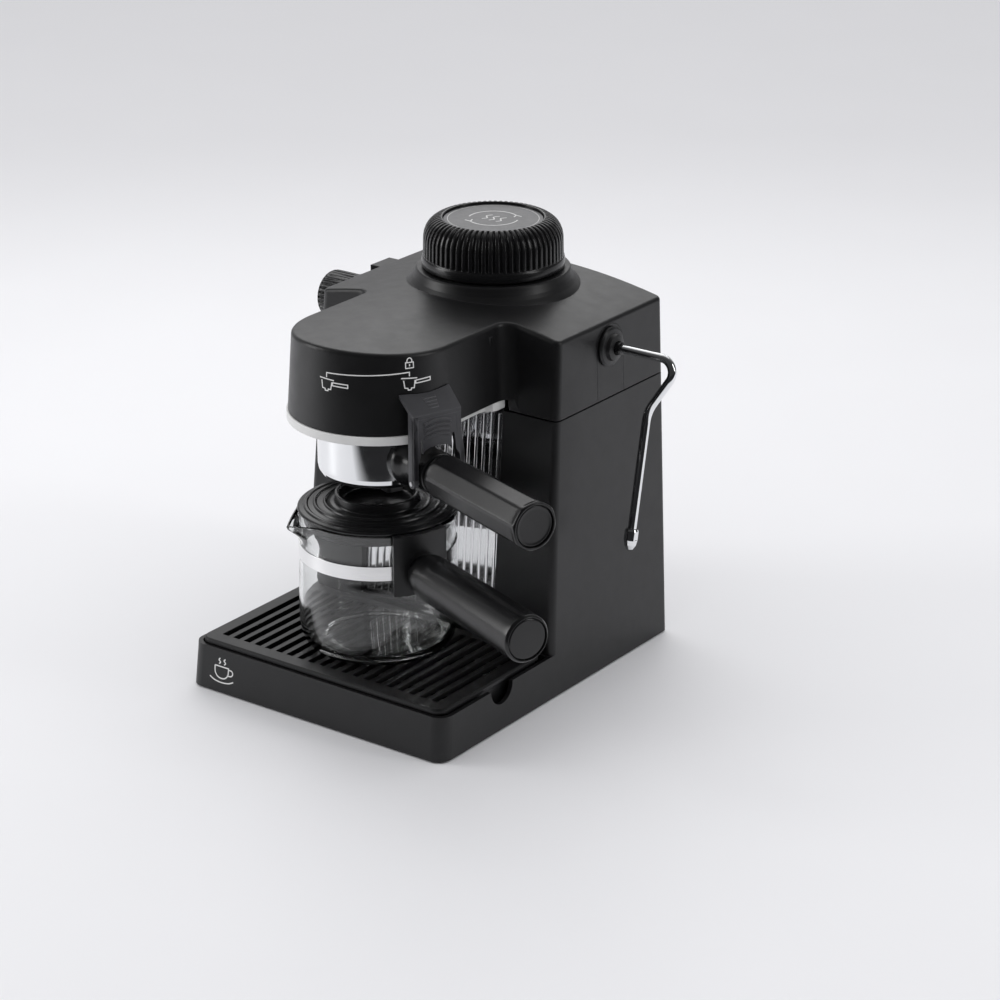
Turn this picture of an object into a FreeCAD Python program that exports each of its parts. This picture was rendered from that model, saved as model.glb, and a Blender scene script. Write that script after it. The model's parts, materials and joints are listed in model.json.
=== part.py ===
"""Countertop steam espresso machine, built as separate pieces, in millimetres.

The row frame has its origin on the table at the centre of the footprint.
+X is the machine's right as its user faces it, -Y is its front and +Z is up.
"""
import FreeCAD, Part

import math
import os

V = FreeCAD.Vector

# ---------------------------------------------------------------- driving sizes
BASE_WIDTH = 184.0          # across the foot of the casing
BASE_DEPTH = 227.6          # front to rear at the foot
FLOOR_GAP = 1.0             # the casing's lower edge stands this far off the table
BASE_TOP = 26.8             # top of the base's side walls
GRID_TOP = 30.0             # surface that a cup stands on
SEAM_Z = 165.4              # joint between the column and the head cover
CROWN_Z = 220.8             # highest line of the cambered head cover
CROWN_RADIUS = 387.0        # camber across the head, about an axis along Y
WALL = 2.6                  # moulded casing thickness
SIDE_DRAFT = 0.035          # how much a side leans in, mm per mm of height
REAR_DRAFT = 0.0085
FRONT_DRAFT = 0.108         # base front wall
COLUMN_DRAFT = 0.0758       # column front leans back
COLUMN_FRONT = -7.7         # column front face at the top of the base
RECESS_HALF = 49.0          # the ribbed panel sits in a recess this wide each way
RECESS_DEPTH = 4.2
RECESS_FOOT = 31.5
CORNER = 8.5                # vertical corner radius of the base
COLUMN_CORNER = 4.2         # vertical corner radius of the column and the head
HEAD_EDGE = 2.4             # rounding of the head's top edge
SEAM_GAP = 0.9              # shadow line between the column and the head cover

BREW_Y = -48.8              # axis of the brew head and the filter holder
NOSE_RADIUS = 51.0          # half width of the brew head at its lower rim
NOSE_DRAFT = 0.067
NOSE_BOTTOM = 173.4
PLATE_BOTTOM = 168.0        # underside of the light plate below the nose

BOILER_Y = 60.9             # axis of the boiler and its cap
CAP_BOTTOM = 229.2
CAP_TOP = 257.6
CAP_RADIUS = 41.0
NECK_RADIUS = 33.0
THREAD_PITCH = 3.0
FIT = 0.3                   # gap between pieces that move past each other
PIN_FIT = 0.05              # radial clearance of a pin in its hole

WAND_Y = 56.2               # the steam wand turns about X through this point
WAND_Z = 196.4
WAND_LEAN = 11.5            # degrees that the hanging wand is swung forward
TUBE_RADIUS = 2.5
KNOB_Y = 51.2               # steam valve spindle, along X
KNOB_Z = 191.8

FILTER_TURN = -20.0         # heading of the locked filter handle from +X, degrees
BOWL_RADIUS = 34.9
BOWL_BOTTOM = 134.6
HANDLE_Z = 152.0
HANDLE_END = 155.0          # from the brew axis to the end of the filter handle
HANDLE_RADIUS = 13.9
NECK_HALF = 12.2            # radius of the handle's neck where the retainer straddles it
CLIP_FACE = 61.0            # from the brew axis to the face of the basket retainer
CLIP_TOP = 187.8            # front edge of the retainer's roof
CLIP_ROOF = 196.2           # where the roof meets the nose
CLIP_HALF = 15.5
CLIP_LEG = 3.0
CLIP_FLARE = 2.5            # the far leg spreads this much towards its foot
CLIP_PIN_Z = 147.9
CLIP_PIN_X = 58.1
CLIP_PIN = 1.3

CARAFE_Y = -51.3
CARAFE_TURN = -21.7         # heading of the carafe's handle from +X, degrees
SPOUT_TURN = -121.0         # heading of the carafe's pouring lip
GLASS_RADIUS = 45.5
GLASS_WALL = 2.0
RIM_Z = 112.8
BAND_Z = 90.0
CARAFE_HANDLE_END = 158.0
CARAFE_HANDLE_RADIUS = 13.7


# ---------------------------------------------------------------- small helpers
def box(x0, x1, y0, y1, z0, z1):
    return Part.makeBox(x1 - x0, y1 - y0, z1 - z0, V(x0, y0, z0))


def rod(radius, start, end):
    """A cylinder between two points."""
    a = V(*start)
    b = V(*end)
    return Part.makeCylinder(radius, (b - a).Length, a, b - a)


def tube(outer, inner, start, end):
    return rod(outer, start, end).cut(rod(inner, start, end))


def turned(profile, x=0.0, y=0.0):
    """A solid of revolution about a vertical axis; profile is a list of (radius, z)."""
    points = [V(r, 0, z) for r, z in profile]
    face = Part.Face(Part.makePolygon(points + points[:1]))
    solid = face.revolve(V(0, 0, 0), V(0, 0, 1), 360)
    solid.translate(V(x, y, 0))
    return solid


def turned_x(profile, y, z):
    """A solid of revolution about a line along X; profile is a list of (radius, x)."""
    points = [V(x, 0, r) for r, x in profile]
    face = Part.Face(Part.makePolygon(points + points[:1]))
    solid = face.revolve(V(0, 0, 0), V(1, 0, 0), 360)
    solid.translate(V(0, y, z))
    return solid


def rounded_rectangle(x0, x1, y0, y1, z, radius):
    """A closed wire with round corners in a horizontal plane."""
    corners = [(x1 - radius, y1 - radius, 0), (x0 + radius, y1 - radius, 90),
               (x0 + radius, y0 + radius, 180), (x1 - radius, y0 + radius, 270)]
    arcs = []
    for cx, cy, start in corners:
        points = []
        for step in (0, 45, 90):
            angle = math.radians(start + step)
            points.append(V(cx + radius * math.cos(angle), cy + radius * math.sin(angle), z))
        arcs.append(points)
    edges = []
    for index, points in enumerate(arcs):
        edges.append(Part.Arc(*points).toShape())
        following = arcs[(index + 1) % len(arcs)][0]
        edges.append(Part.LineSegment(points[2], following).toShape())
    return Part.Wire(edges)


def drafted(low, high, radius):
    """A block between two rounded rectangles, each given as (x0, x1, y0, y1, z)."""
    wires = [rounded_rectangle(*level, radius) for level in (low, high)]
    return Part.makeLoft(wires, True, True)


def soften(solid, radius, chosen):
    """Round the edges whose centre and tangent satisfy chosen(edge)."""
    edges = [edge for edge in solid.Edges if chosen(edge)]
    return solid.makeFillet(radius, edges) if edges else solid


def joined(first, *others):
    result = first
    for other in others:
        result = result.fuse(other)
    return result.removeSplitter()


def placed(solid, turn, y):
    """Turn a piece built along +X about the vertical axis and move it to depth y."""
    copy = solid.copy()
    copy.rotate(V(0, 0, 0), V(0, 0, 1), turn)
    copy.translate(V(0, y, 0))
    return copy


def bent_rod(points, radius, bends):
    """A round bar along straight runs joined by tangent arcs; bends are the arc radii."""
    corners = [V(*p) for p in points]
    edges = []
    start = corners[0]
    for index, bend in enumerate(bends, 1):
        incoming = (corners[index] - corners[index - 1]).normalize()
        outgoing = (corners[index + 1] - corners[index]).normalize()
        half = incoming.getAngle(outgoing) / 2
        reach = bend * math.tan(half)
        first = corners[index] - incoming * reach
        last = corners[index] + outgoing * reach
        inward = (outgoing - incoming).normalize()
        middle = corners[index] + inward * (bend / math.cos(half) - bend)
        edges.append(Part.LineSegment(start, first).toShape())
        edges.append(Part.Arc(first, middle, last).toShape())
        start = last
    edges.append(Part.LineSegment(start, corners[-1]).toShape())
    path = Part.Wire(edges)
    heading = corners[1] - corners[0]
    section = Part.Wire([Part.Circle(corners[0], heading, radius).toShape()])
    return path.makePipeShell([section], True, False)


def screws(places, head_radius, shank_radius, head_height, length, direction):
    """Identical screws; each place is the underside of a head, direction runs down the shank."""
    axis = V(*direction)
    solids = []
    for place in places:
        seat = V(*place)
        head = Part.makeCylinder(head_radius, head_height, seat, axis * -1)
        shank = Part.makeCylinder(shank_radius, length, seat, axis)
        slot = Part.makeCylinder(head_radius * 0.45, head_height * 0.5,
                                 seat - axis * head_height, axis)
        solids.append(head.fuse(shank).cut(slot))
    return Part.makeCompound(solids)


def half_width(z):
    return BASE_WIDTH / 2 - SIDE_DRAFT * z


def rear_y(z):
    return BASE_DEPTH / 2 - REAR_DRAFT * z


def column_front_y(z):
    return COLUMN_FRONT + COLUMN_DRAFT * (z - BASE_TOP)


def nose_radius(z):
    return NOSE_RADIUS - NOSE_DRAFT * (z - NOSE_BOTTOM)


# ---------------------------------------------------------------- casing
def base_block(inset, z0, z1):
    """The base's outer form, moved inward by inset."""
    levels = []
    for z in (z0, z1):
        side = half_width(z) - inset
        front = -BASE_DEPTH / 2 + FRONT_DRAFT * z + inset
        levels.append((-side, side, front, rear_y(z) - inset, z))
    return drafted(levels[0], levels[1], max(CORNER - inset, 2.0))


def column_block(inset, z0, z1):
    levels = []
    for z in (z0, z1):
        side = half_width(z) - inset
        levels.append((-side, side, column_front_y(z) + inset, rear_y(z) - inset, z))
    return drafted(levels[0], levels[1], max(COLUMN_CORNER - inset, 1.5))


REAR_WINDOW = (-58.0, 58.0, 38.0, 150.0)     # x0, x1, z0, z1 of the removable rear cover
NOTCH_Y = -56.3
NOTCH_RADIUS = 10.4
GLAND = (-62.0, 20.0)                        # x and z of the cord inlet


def rear_window(gap):
    x0, x1, z0, z1 = REAR_WINDOW
    return box(x0 + gap, x1 - gap, 100, 120, z0 + gap, z1 - gap)


def casing_walls():
    outer = base_block(0, FLOOR_GAP, BASE_TOP).fuse(column_block(0, FLOOR_GAP, SEAM_Z))
    outer = outer.removeSplitter()
    hollow = column_block(WALL, FLOOR_GAP - 1, SEAM_Z + 1)
    bay = base_block(WALL, FLOOR_GAP - 1, BASE_TOP + 1)
    behind_bulkhead = box(-100, 100, COLUMN_FRONT - 1.5, 120, -5, 60)
    floor_recess = base_block(WALL, 0, 3.3)
    pan = recess(RECESS_HALF + WALL, RECESS_FOOT - WALL, SEAM_Z, RECESS_DEPTH + WALL)
    walls = outer.cut(hollow.cut(pan)).cut(bay.cut(behind_bulkhead)).cut(floor_recess)
    return walls.cut(recess(RECESS_HALF, RECESS_FOOT, SEAM_Z + 5, RECESS_DEPTH))


def recess(half, z0, z1, depth):
    """A slab set into the column's leaning front face."""
    slab = box(-half, half, -20, depth, 0, (z1 - z0) * math.hypot(1, COLUMN_DRAFT))
    slab.rotate(V(0, 0, 0), V(1, 0, 0), -math.degrees(math.atan(COLUMN_DRAFT)))
    slab.translate(V(0, column_front_y(z0), z0))
    return slab


def housing():
    body = casing_walls().cut(rear_window(0))
    notch = rod(NOTCH_RADIUS, (80, NOTCH_Y, BASE_TOP), (100, NOTCH_Y, BASE_TOP))
    body = body.cut(notch)
    x, z = GLAND
    body = body.cut(rod(6.0, (x, 100, z), (x, 120, z)))
    for z_hole in (60.0, 110.0):
        body = body.cut(rod(1.6, (0, COLUMN_FRONT - 4, z_hole), (0, 10, z_hole)))
    return body.removeSplitter()


def rear_cover():
    panel = casing_walls().common(rear_window(0.2))
    for row in range(7):
        z = 96.0 + 7.0 * row
        panel = panel.cut(box(-34, 34, 100, 120, z, z + 2.6))
    for x in (-48.0, 48.0):
        for z in (46.0, 142.0):
            panel = panel.cut(rod(1.7, (x, 100, z), (x, 120, z)))
    return panel


def base_plate():
    plate = base_block(WALL + FIT, 1.2, 3.0)
    for x, y in FOOT_PLACES:
        plate = plate.cut(rod(2.5, (x, y, 0), (x, y, 6)))
    for x, y in BASE_SCREW_PLACES:
        plate = plate.cut(rod(1.7, (x, y, 0), (x, y, 6)))
    return plate


FOOT_PLACES = [(x, y) for x in (-74.0, 74.0) for y in (-97.0, 97.0)]
BASE_SCREW_PLACES = [(x, y) for x in (-60.0, 60.0) for y in (14.0, 100.0)]


def feet():
    solids = []
    for x, y in FOOT_PLACES:
        pad = turned([(0, 0), (6.2, 0), (7, 0.5), (7, 1.1), (2.4, 1.1), (2.4, 3.1),
                      (3.4, 3.3), (2.0, 4.2), (0, 4.2)], x, y)
        solids.append(pad)
    return Part.makeCompound(solids)


def casing_screws():
    """Eight screws of one size: four in the bottom plate and four in the rear cover."""
    below = [(x, y, 1.15) for x, y in BASE_SCREW_PLACES]
    behind = [(x, rear_y(z) + 0.15, z) for x in (-48.0, 48.0) for z in (46.0, 142.0)]
    upward = screws(below, 3.0, 1.5, 0.9, 9.0, (0, 0, 1))
    forward = screws(behind, 3.0, 1.5, 0.9, 9.0, (0, -1, 0))
    return Part.makeCompound(upward.Solids + forward.Solids)


# ---------------------------------------------------------------- head cover
CAP_COLLAR = [(38.6, 213.0), (53.0, 213.0), (52.4, 216.6), (50.4, 219.0), (48.6, 220.9),
              (47.0, 223.0), (46.0, 225.4), (45.3, 227.4), (44.6, 228.2), (38.6, 228.2)]


PLATE_SCREW_PLACES = [(x, -8.0) for x in (-44.6, 44.6)]


def camber(inset):
    """Everything under the cambered top, as a drum lying along Y."""
    radius = CROWN_RADIUS - inset
    return rod(radius, (0, -140, CROWN_Z - CROWN_RADIUS), (0, 140, CROWN_Z - CROWN_RADIUS))


def nose_outline(inset, z, back):
    """Straight sides and a round front, from y = back forward."""
    r = nose_radius(z) - inset
    side = Part.LineSegment(V(r, back, z), V(r, BREW_Y, z)).toShape()
    front = Part.Arc(V(r, BREW_Y, z), V(0, BREW_Y - r, z), V(-r, BREW_Y, z)).toShape()
    other = Part.LineSegment(V(-r, BREW_Y, z), V(-r, back, z)).toShape()
    close = Part.LineSegment(V(-r, back, z), V(r, back, z)).toShape()
    return Part.Wire([side, front, other, close])


def nose_block(inset, z0, z1, back=20.0):
    wires = [nose_outline(inset, z, back) for z in (z0, z1)]
    return Part.makeLoft(wires, True, True)


def head_form(inset, top_inset):
    """The head's solid form: the wide rear block, the nose and the fillets between them."""
    block = column_block(inset, SEAM_Z - 5, 224)
    nose = nose_block(inset, NOSE_BOTTOM - 12, 224)
    form = block.fuse(nose).removeSplitter()
    inner_corner = 9.0 + inset

    def is_inner_corner(edge):
        middle = edge.CenterOfMass
        near_side = abs(abs(middle.x) - nose_radius(middle.z) + inset) < 1.0
        return near_side and abs(middle.y - column_front_y(middle.z) - inset) < 1.5

    form = soften(form, inner_corner, is_inner_corner)
    return form.common(camber(top_inset))


def head_shell():
    outer = head_form(0, 0)
    outer = outer.cut(box(-60, 60, -140, 3.0, 150, NOSE_BOTTOM))
    outer = outer.cut(box(-100, 100, -140, 140, 150, SEAM_Z + SEAM_GAP))

    def is_top_edge(edge):
        middle = edge.CenterOfMass
        along_top = abs(math.hypot(middle.x, middle.z - CROWN_Z + CROWN_RADIUS)
                        - CROWN_RADIUS) < 2.5
        return along_top and middle.z > 205

    rounded = soften(outer, HEAD_EDGE, is_top_edge)
    collar = turned(CAP_COLLAR, 0, BOILER_Y).common(column_block(1.2, 170, 235))
    shell = rounded.fuse(collar)
    shell = shell.cut(head_form(WALL, WALL))
    shell = shell.cut(rod(38.6, (0, BOILER_Y, 200), (0, BOILER_Y, 240)))
    for x, y in PLATE_SCREW_PLACES:
        boss = rod(4.2, (x, y, NOSE_BOTTOM), (x, y, 212))
        shell = shell.fuse(boss).cut(rod(1.2, (x, y, 170), (x, y, 190)))
    return shell


def wand_slot(gap):
    """The slot in the right side that is closed by the insert below the wand."""
    half = 13.3 - gap
    centre = 56.8
    low = box(78, 95, centre - half, centre + half, SEAM_Z - 5, WAND_Z)
    return low.fuse(rod(half, (78, centre, WAND_Z), (95, centre, WAND_Z)))


def head_cover():
    shell = head_shell().cut(wand_slot(0))
    shell = shell.cut(rod(6.5, (-95, KNOB_Y, KNOB_Z), (-78, KNOB_Y, KNOB_Z)))
    x0, x1, y0, y1, z0, z1 = SWITCH_POD
    shell = shell.cut(box(-95, -80, y0 + 2, y1 - 2, z0 + 2, z1 - 4))
    x, y, z = LAMP
    shell = shell.cut(rod(3.2, (-95, y, z), (-78, y, z)))
    return shell.removeSplitter()


def wand_insert():
    panel = head_shell().common(wand_slot(0.2))
    return panel.cut(rod(8.6, (78, WAND_Y, WAND_Z), (95, WAND_Y, WAND_Z)))


def brew_head_plate():
    """The light plate that closes the underside of the nose."""
    outer = nose_block(-0.9, PLATE_BOTTOM, NOSE_BOTTOM - 0.25, 2.2)
    plate = outer.cut(rod(42.2, (0, BREW_Y, 150), (0, BREW_Y, 180)))
    for x, y in PLATE_SCREW_PLACES:
        plate = plate.cut(rod(1.6, (x, y, 160), (x, y, 180)))
    return plate


def plate_screws():
    places = [(x, y, PLATE_BOTTOM - 0.05) for x, y in PLATE_SCREW_PLACES]
    return screws(places, 2.8, 1.15, 0.9, 14.0, (0, 0, 1))


def ribbed_panel():
    """The bright sheet on the column's front face, with half-round upright ribs."""
    z0, z1 = 34.0, 163.5
    tilt = math.degrees(math.atan(COLUMN_DRAFT))
    length = z1 - z0
    sheet = box(-47.5, 47.5, -0.8, 0, 0, length)
    for index in range(18):
        x = (index - 8.5) * 5.3
        rib = rod(1.1, (x, -0.6, 1.5), (x, -0.6, length - 1.5))
        sheet = sheet.fuse(rib.cut(box(-60, 60, -0.2, 5, -5, 200)))
    sheet = sheet.removeSplitter()
    sheet.rotate(V(0, 0, 0), V(1, 0, 0), -tilt)
    sheet.translate(V(0, column_front_y(z0) + RECESS_DEPTH - 0.1, z0))
    return sheet


# ---------------------------------------------------------------- switch and lamp
SWITCH_POD = (-97.5, -85.8, 68.0, 86.0, 179.5, 208.5)     # x0, x1, y0, y1, z0, z1
ROCKER_PIVOT = (-94.0, 77.0, 193.5)
ROCKER_PIN = 1.2
LAMP = (-85.0, 98.0, 194.0)


def switch_housing():
    x0, x1, y0, y1, z0, z1 = SWITCH_POD
    pod = box(x0, x1, y0, y1, z0, z1)
    pod = soften(pod, 1.2, lambda edge: edge.CenterOfMass.x < x0 + 0.1)
    well = box(x0 - 1, x0 + 6.5, y0 + 2.6, y1 - 2.6, z0 + 3.0, z1 - 4.0)
    pod = pod.cut(well)
    px, py, pz = ROCKER_PIVOT
    pod = pod.cut(rod(ROCKER_PIN + PIN_FIT, (px, py - 7.7, pz), (px, py + 7.7, pz)))
    stem = box(x1, -76, y0 + 2.3, y1 - 2.3, z0 + 2.3, z1 - 4.3)
    return pod.fuse(stem).removeSplitter()


def rocker():
    x, y, z = ROCKER_PIVOT
    body = box(x - 4.6, x + 0.6, y - 6.0, y + 6.0, z - 9.6, z + 9.6)
    dish = rod(30.0, (x - 33.4, y - 10, z), (x - 33.4, y + 10, z))
    body = body.cut(dish)
    body = body.fuse(rod(ROCKER_PIN, (x, y - 7.3, z), (x, y + 7.3, z)))
    body.rotate(V(x, y, z), V(0, 1, 0), 5.0)
    return body.removeSplitter()


def indicator_lens():
    x, y, z = LAMP
    side = -half_width(z)
    profile = [(0, side + 6), (3.0, side + 6), (3.0, side - 0.3), (4.2, side - 0.3),
               (4.0, side - 1.2), (2.6, side - 2.2), (0, side - 2.6)]
    return turned_x(profile, y, z)


# ---------------------------------------------------------------- boiler and steam path
BOILER_FLOOR = 150.0
BOILER_RADIUS = 36.5


def boiler():
    profile = [(0, BOILER_FLOOR), (32, BOILER_FLOOR), (BOILER_RADIUS, BOILER_FLOOR + 4.5),
               (BOILER_RADIUS, 212), (NECK_RADIUS, 214), (NECK_RADIUS, 240), (28.5, 240),
               (28.5, 212), (33.0, 208), (33.0, BOILER_FLOOR + 6), (30, BOILER_FLOOR + 3.5),
               (0, BOILER_FLOOR + 3.5)]
    pot = turned(profile, 0, BOILER_Y)
    for turn in (45, 135, 225, 315):
        angle = math.radians(turn)
        x = 40.5 * math.cos(angle)
        y = BOILER_Y + 40.5 * math.sin(angle)
        lug = rod(5.0, (x, y, 196), (x, y, 202))
        pot = pot.fuse(lug.cut(rod(BOILER_RADIUS - 1, (0, BOILER_Y, 190), (0, BOILER_Y, 210))))
        pot = pot.cut(rod(1.5, (x, y, 190), (x, y, 206)))
    return pot.removeSplitter()


def boiler_screws():
    places = []
    for turn in (45, 135, 225, 315):
        angle = math.radians(turn)
        places.append((40.5 * math.cos(angle), BOILER_Y + 40.5 * math.sin(angle), 195.9))
    return screws(places, 3.2, 1.45, 2.0, 13.0, (0, 0, 1))


def heating_element():
    """A sheathed ring clamped under the boiler, with its two cold ends."""
    z = BOILER_FLOOR - 4.6
    ring = Part.makeTorus(24, 4.0, V(0, BOILER_Y, z), V(0, 0, 1), 0, 360, 330)
    ring.rotate(V(0, BOILER_Y, z), V(0, 0, 1), 15)
    clamp = tube(29.5, 18.5, (0, BOILER_Y, z + 2.4), (0, BOILER_Y, z + 4.3))
    solid = ring.fuse(clamp)
    for turn in (15, 345):
        angle = math.radians(turn)
        x = 24 * math.cos(angle)
        y = BOILER_Y + 24 * math.sin(angle)
        solid = solid.fuse(rod(2.4, (x, y, z), (x, y, z - 16)))
    return solid.removeSplitter()


def thermostat():
    z = BOILER_FLOOR - 0.2
    can = turned([(0, z), (8.2, z), (8.2, z - 2), (10.5, z - 2), (10.5, z - 4), (8.2, z - 4),
                  (8.2, z - 12), (0, z - 12)], 0, BOILER_Y)
    for x in (-3.6, 3.6):
        can = can.fuse(box(x - 0.5, x + 0.5, BOILER_Y - 3, BOILER_Y + 3, z - 20, z - 11))
    return can.removeSplitter()


def thermal_fuse():
    z = BOILER_FLOOR + 18
    x = BOILER_RADIUS + 2.4
    body = rod(2.1, (x, BOILER_Y - 6, z), (x, BOILER_Y + 6, z))
    leads = rod(0.6, (x, BOILER_Y - 14, z), (x, BOILER_Y + 14, z))
    return body.fuse(leads).removeSplitter()


def steam_valve():
    """Brass valve body on the left of the boiler, with its spindle bore along X."""
    y, z = KNOB_Y, KNOB_Z
    body = turned_x([(0, -58), (8, -58), (8, -66), (10.5, -66), (10.5, -74), (6.2, -74),
                     (6.2, -80), (0, -80)], y, z)
    inlet = rod(4.0, (-62, y, z), (-34.6, y + 5, z))
    outlet = rod(4.0, (-62, y, z), (-62, y, z + 14))
    body = body.fuse(inlet).fuse(outlet)
    body = body.cut(rod(BOILER_RADIUS + 0.2, (0, BOILER_Y, 150), (0, BOILER_Y, 220)))
    body = body.cut(rod(3.2 + PIN_FIT, (-64, y, z), (-81, y, z)))
    return body.cut(rod(1.6, (-62, y, z), (-62, y, z + 15))).removeSplitter()


def valve_spindle():
    y, z = KNOB_Y, KNOB_Z
    return turned_x([(0, -65.2), (1.0, -65.2), (3.2, -67.5), (3.2, -106), (2.4, -106.8),
                     (0, -106.8)], y, z)


def steam_pipe():
    """Thin pipe from the valve over the front of the boiler to the wand's socket."""
    y, z = KNOB_Y, KNOB_Z
    points = [(-62, y, z + 14.2), (-62, y, 211), (-50, 12, 211), (48, 12, 211), (66, WAND_Y, 206),
              (66, WAND_Y, WAND_Z), (77.6, WAND_Y, WAND_Z)]
    return bent_rod(points, 1.8, [2.6, 8.0, 8.0, 4.0, 4.0])


def brew_pipe():
    """Dip pipe outlet from the boiler's front wall to the brew head."""
    points = [(0, BOILER_Y - BOILER_RADIUS - 0.1, 204), (0, 6, 204), (0, 2, 201),
              (0, BREW_Y, 201), (0, BREW_Y, 196.2)]
    return bent_rod(points, 2.5, [6.0, 6.0, 4.2])


def group_casting():
    """Metal brew head: a domed disc with a skirt that carries two locking ramps."""
    profile = [(0, 190.5), (29, 190.5), (29, 186.2), (41.2, 186.2), (41.2, 174.2), (45.6, 174.2),
               (45.6, 190), (40, 196), (0, 196)]
    casting = turned(profile, 0, BREW_Y)
    for start in (15.0, 195.0):
        ramp = Part.makeCylinder(42.0, 1.9, V(0, 0, 174.3), V(0, 0, 1), 70)
        ramp = ramp.cut(Part.makeCylinder(36.6, 10, V(0, 0, 170)))
        ramp.rotate(V(0, 0, 0), V(0, 0, 1), start)
        ramp.translate(V(0, BREW_Y, 0))
        casting = casting.fuse(ramp)
    return casting.cut(rod(2.0, (0, BREW_Y, 186), (0, BREW_Y, 197))).removeSplitter()


def group_gasket():
    return tube(36.4, 29.4, (0, BREW_Y, 183.4), (0, BREW_Y, 186.1))


def shower_screen():
    screen = turned([(0, 185.2), (28.6, 185.2), (28.6, 188.6), (27.8, 188.6), (27.8, 186.0),
                     (0, 186.0)], 0, BREW_Y)
    for count, radius in ((6, 8.0), (12, 16.0), (18, 23.5)):
        for index in range(count):
            angle = 2 * math.pi * index / count
            x = radius * math.cos(angle)
            y = BREW_Y + radius * math.sin(angle)
            screen = screen.cut(rod(0.8, (x, y, 184), (x, y, 187)))
    return screen.cut(rod(2.1, (0, BREW_Y, 184), (0, BREW_Y, 187)))


def shower_screw():
    return screws([(0, BREW_Y, 185.1)], 4.2, 1.9, 1.6, 5.2, (0, 0, 1))


def terminal_block():
    block = box(-20, 20, 82, 96, 60, 74)
    for index in range(3):
        x = -12.0 + 12.0 * index
        block = block.cut(rod(2.6, (x, 89, 68), (x, 89, 80)))
        block = block.cut(rod(1.6, (x, 80, 65), (x, 98, 65)))
    return block


def wiring():
    """Internal leads from the cord inlet to the block, the switch and the heater."""
    runs = [[(GLAND[0], 98, GLAND[1]), (GLAND[0], 88, 24), (-45, 78, 45), (-12, 79.6, 64)],
            [(12, 79.4, 64), (34, 70, 80), (30, 60.9 + 6, 118), (25, 67.1, 128)],
            [(0, 79.4, 64), (-30, 60, 90), (-66, 66, 140), (-75, 72, 178)]]
    solids = []
    for run in runs:
        solids.append(bent_rod(run, 1.4, [7.0, 9.0]))
    return Part.makeCompound(solids)


def cord_gland():
    """Bush that lines the cord's hole in the casing's rear wall."""
    x, z = GLAND
    rear = rear_y(z)
    inner = rear - WALL
    outer = tube(8.6, 3.6, (x, rear + 0.1, z), (x, rear + 3.0, z))
    sleeve = tube(5.8, 3.6, (x, inner - 3.0, z), (x, rear + 0.1, z))
    collar = tube(7.6, 3.6, (x, inner - 3.0, z), (x, inner - 0.2, z))
    return joined(outer, sleeve, collar)


def wand_socket():
    """Black bush on the right side that holds the wand's ball."""
    x = half_width(WAND_Z)
    profile = [(5.8, x - 7.0), (8.4, x - 7.0), (8.4, x + 0.5), (11.7, x + 0.5), (11.7, x + 1.6),
               (10.6, x + 2.6), (8.2, x + 3.0), (7.4, x + 5.2), (4.2, x + 6.0), (4.2, x + 3.6),
               (5.8, x + 1.4)]
    return turned_x(profile, WAND_Y, WAND_Z)


# ---------------------------------------------------------------- steam knob and wand
def steam_knob():
    y, z = KNOB_Y, KNOB_Z
    knob = turned_x([(4.6, -88.2), (15.8, -88.2), (15.8, -92.0), (14.7, -94.0), (14.7, -113.0),
                     (13.6, -114.2), (11.6, -114.2), (11.6, -112.6), (0, -112.6), (0, -107.2),
                     (3.25, -107.2), (3.25, -96.0), (4.6, -96.0)], y, z)
    for index in range(24):
        angle = 2 * math.pi * index / 24
        dy = 15.3 * math.cos(angle)
        dz = 15.3 * math.sin(angle)
        knob = knob.cut(rod(0.9, (-95.0, y + dy, z + dz), (-116, y + dy, z + dz)))
    return knob.removeSplitter()


def knob_face():
    return turned_x([(0, -112.8), (11.4, -112.8), (11.4, -113.6), (10.8, -114.0), (0, -114.0)],
                    KNOB_Y, KNOB_Z)


def wand_point(out, down):
    """A point in the wand's plane: out along +X and down along the leaning hang."""
    lean = math.radians(WAND_LEAN)
    return (88 + out, WAND_Y - down * math.sin(lean), WAND_Z - down * math.cos(lean))


def steam_tube():
    points = [(79.0, WAND_Y, WAND_Z), wand_point(47.1, 0), wand_point(27.9, 32.0),
              wand_point(27.9, 103.0)]
    return bent_rod(points, TUBE_RADIUS, [8.0, 22.0])


def wand_ball():
    x = half_width(WAND_Z)
    ball = turned_x([(TUBE_RADIUS, x - 6.0), (5.2, x - 6.0), (5.4, x - 2.0), (5.4, x + 0.6),
                     (3.9, x + 3.0), (3.9, x + 8.5), (3.2, x + 9.3), (TUBE_RADIUS, x + 9.3)],
                    WAND_Y, WAND_Z)
    return ball


def steam_nozzle():
    profile = [(TUBE_RADIUS, 0), (3.4, 0), (4.0, 1.2), (4.0, 6.5), (3.4, 9.5), (2.0, 11.9),
               (0.8, 11.9), (0.8, 2.7), (TUBE_RADIUS, 2.7)]
    tip = turned([(r, -d) for r, d in profile])
    for side in range(6):
        flat = box(3.6, 6, -5, 5, -6.2, -1.0)
        flat.rotate(V(0, 0, 0), V(0, 0, 1), 60 * side)
        tip = tip.cut(flat)
    tip.rotate(V(0, 0, 0), V(1, 0, 0), -WAND_LEAN)
    tip.translate(V(*wand_point(27.9, 100.5)))
    return tip


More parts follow.
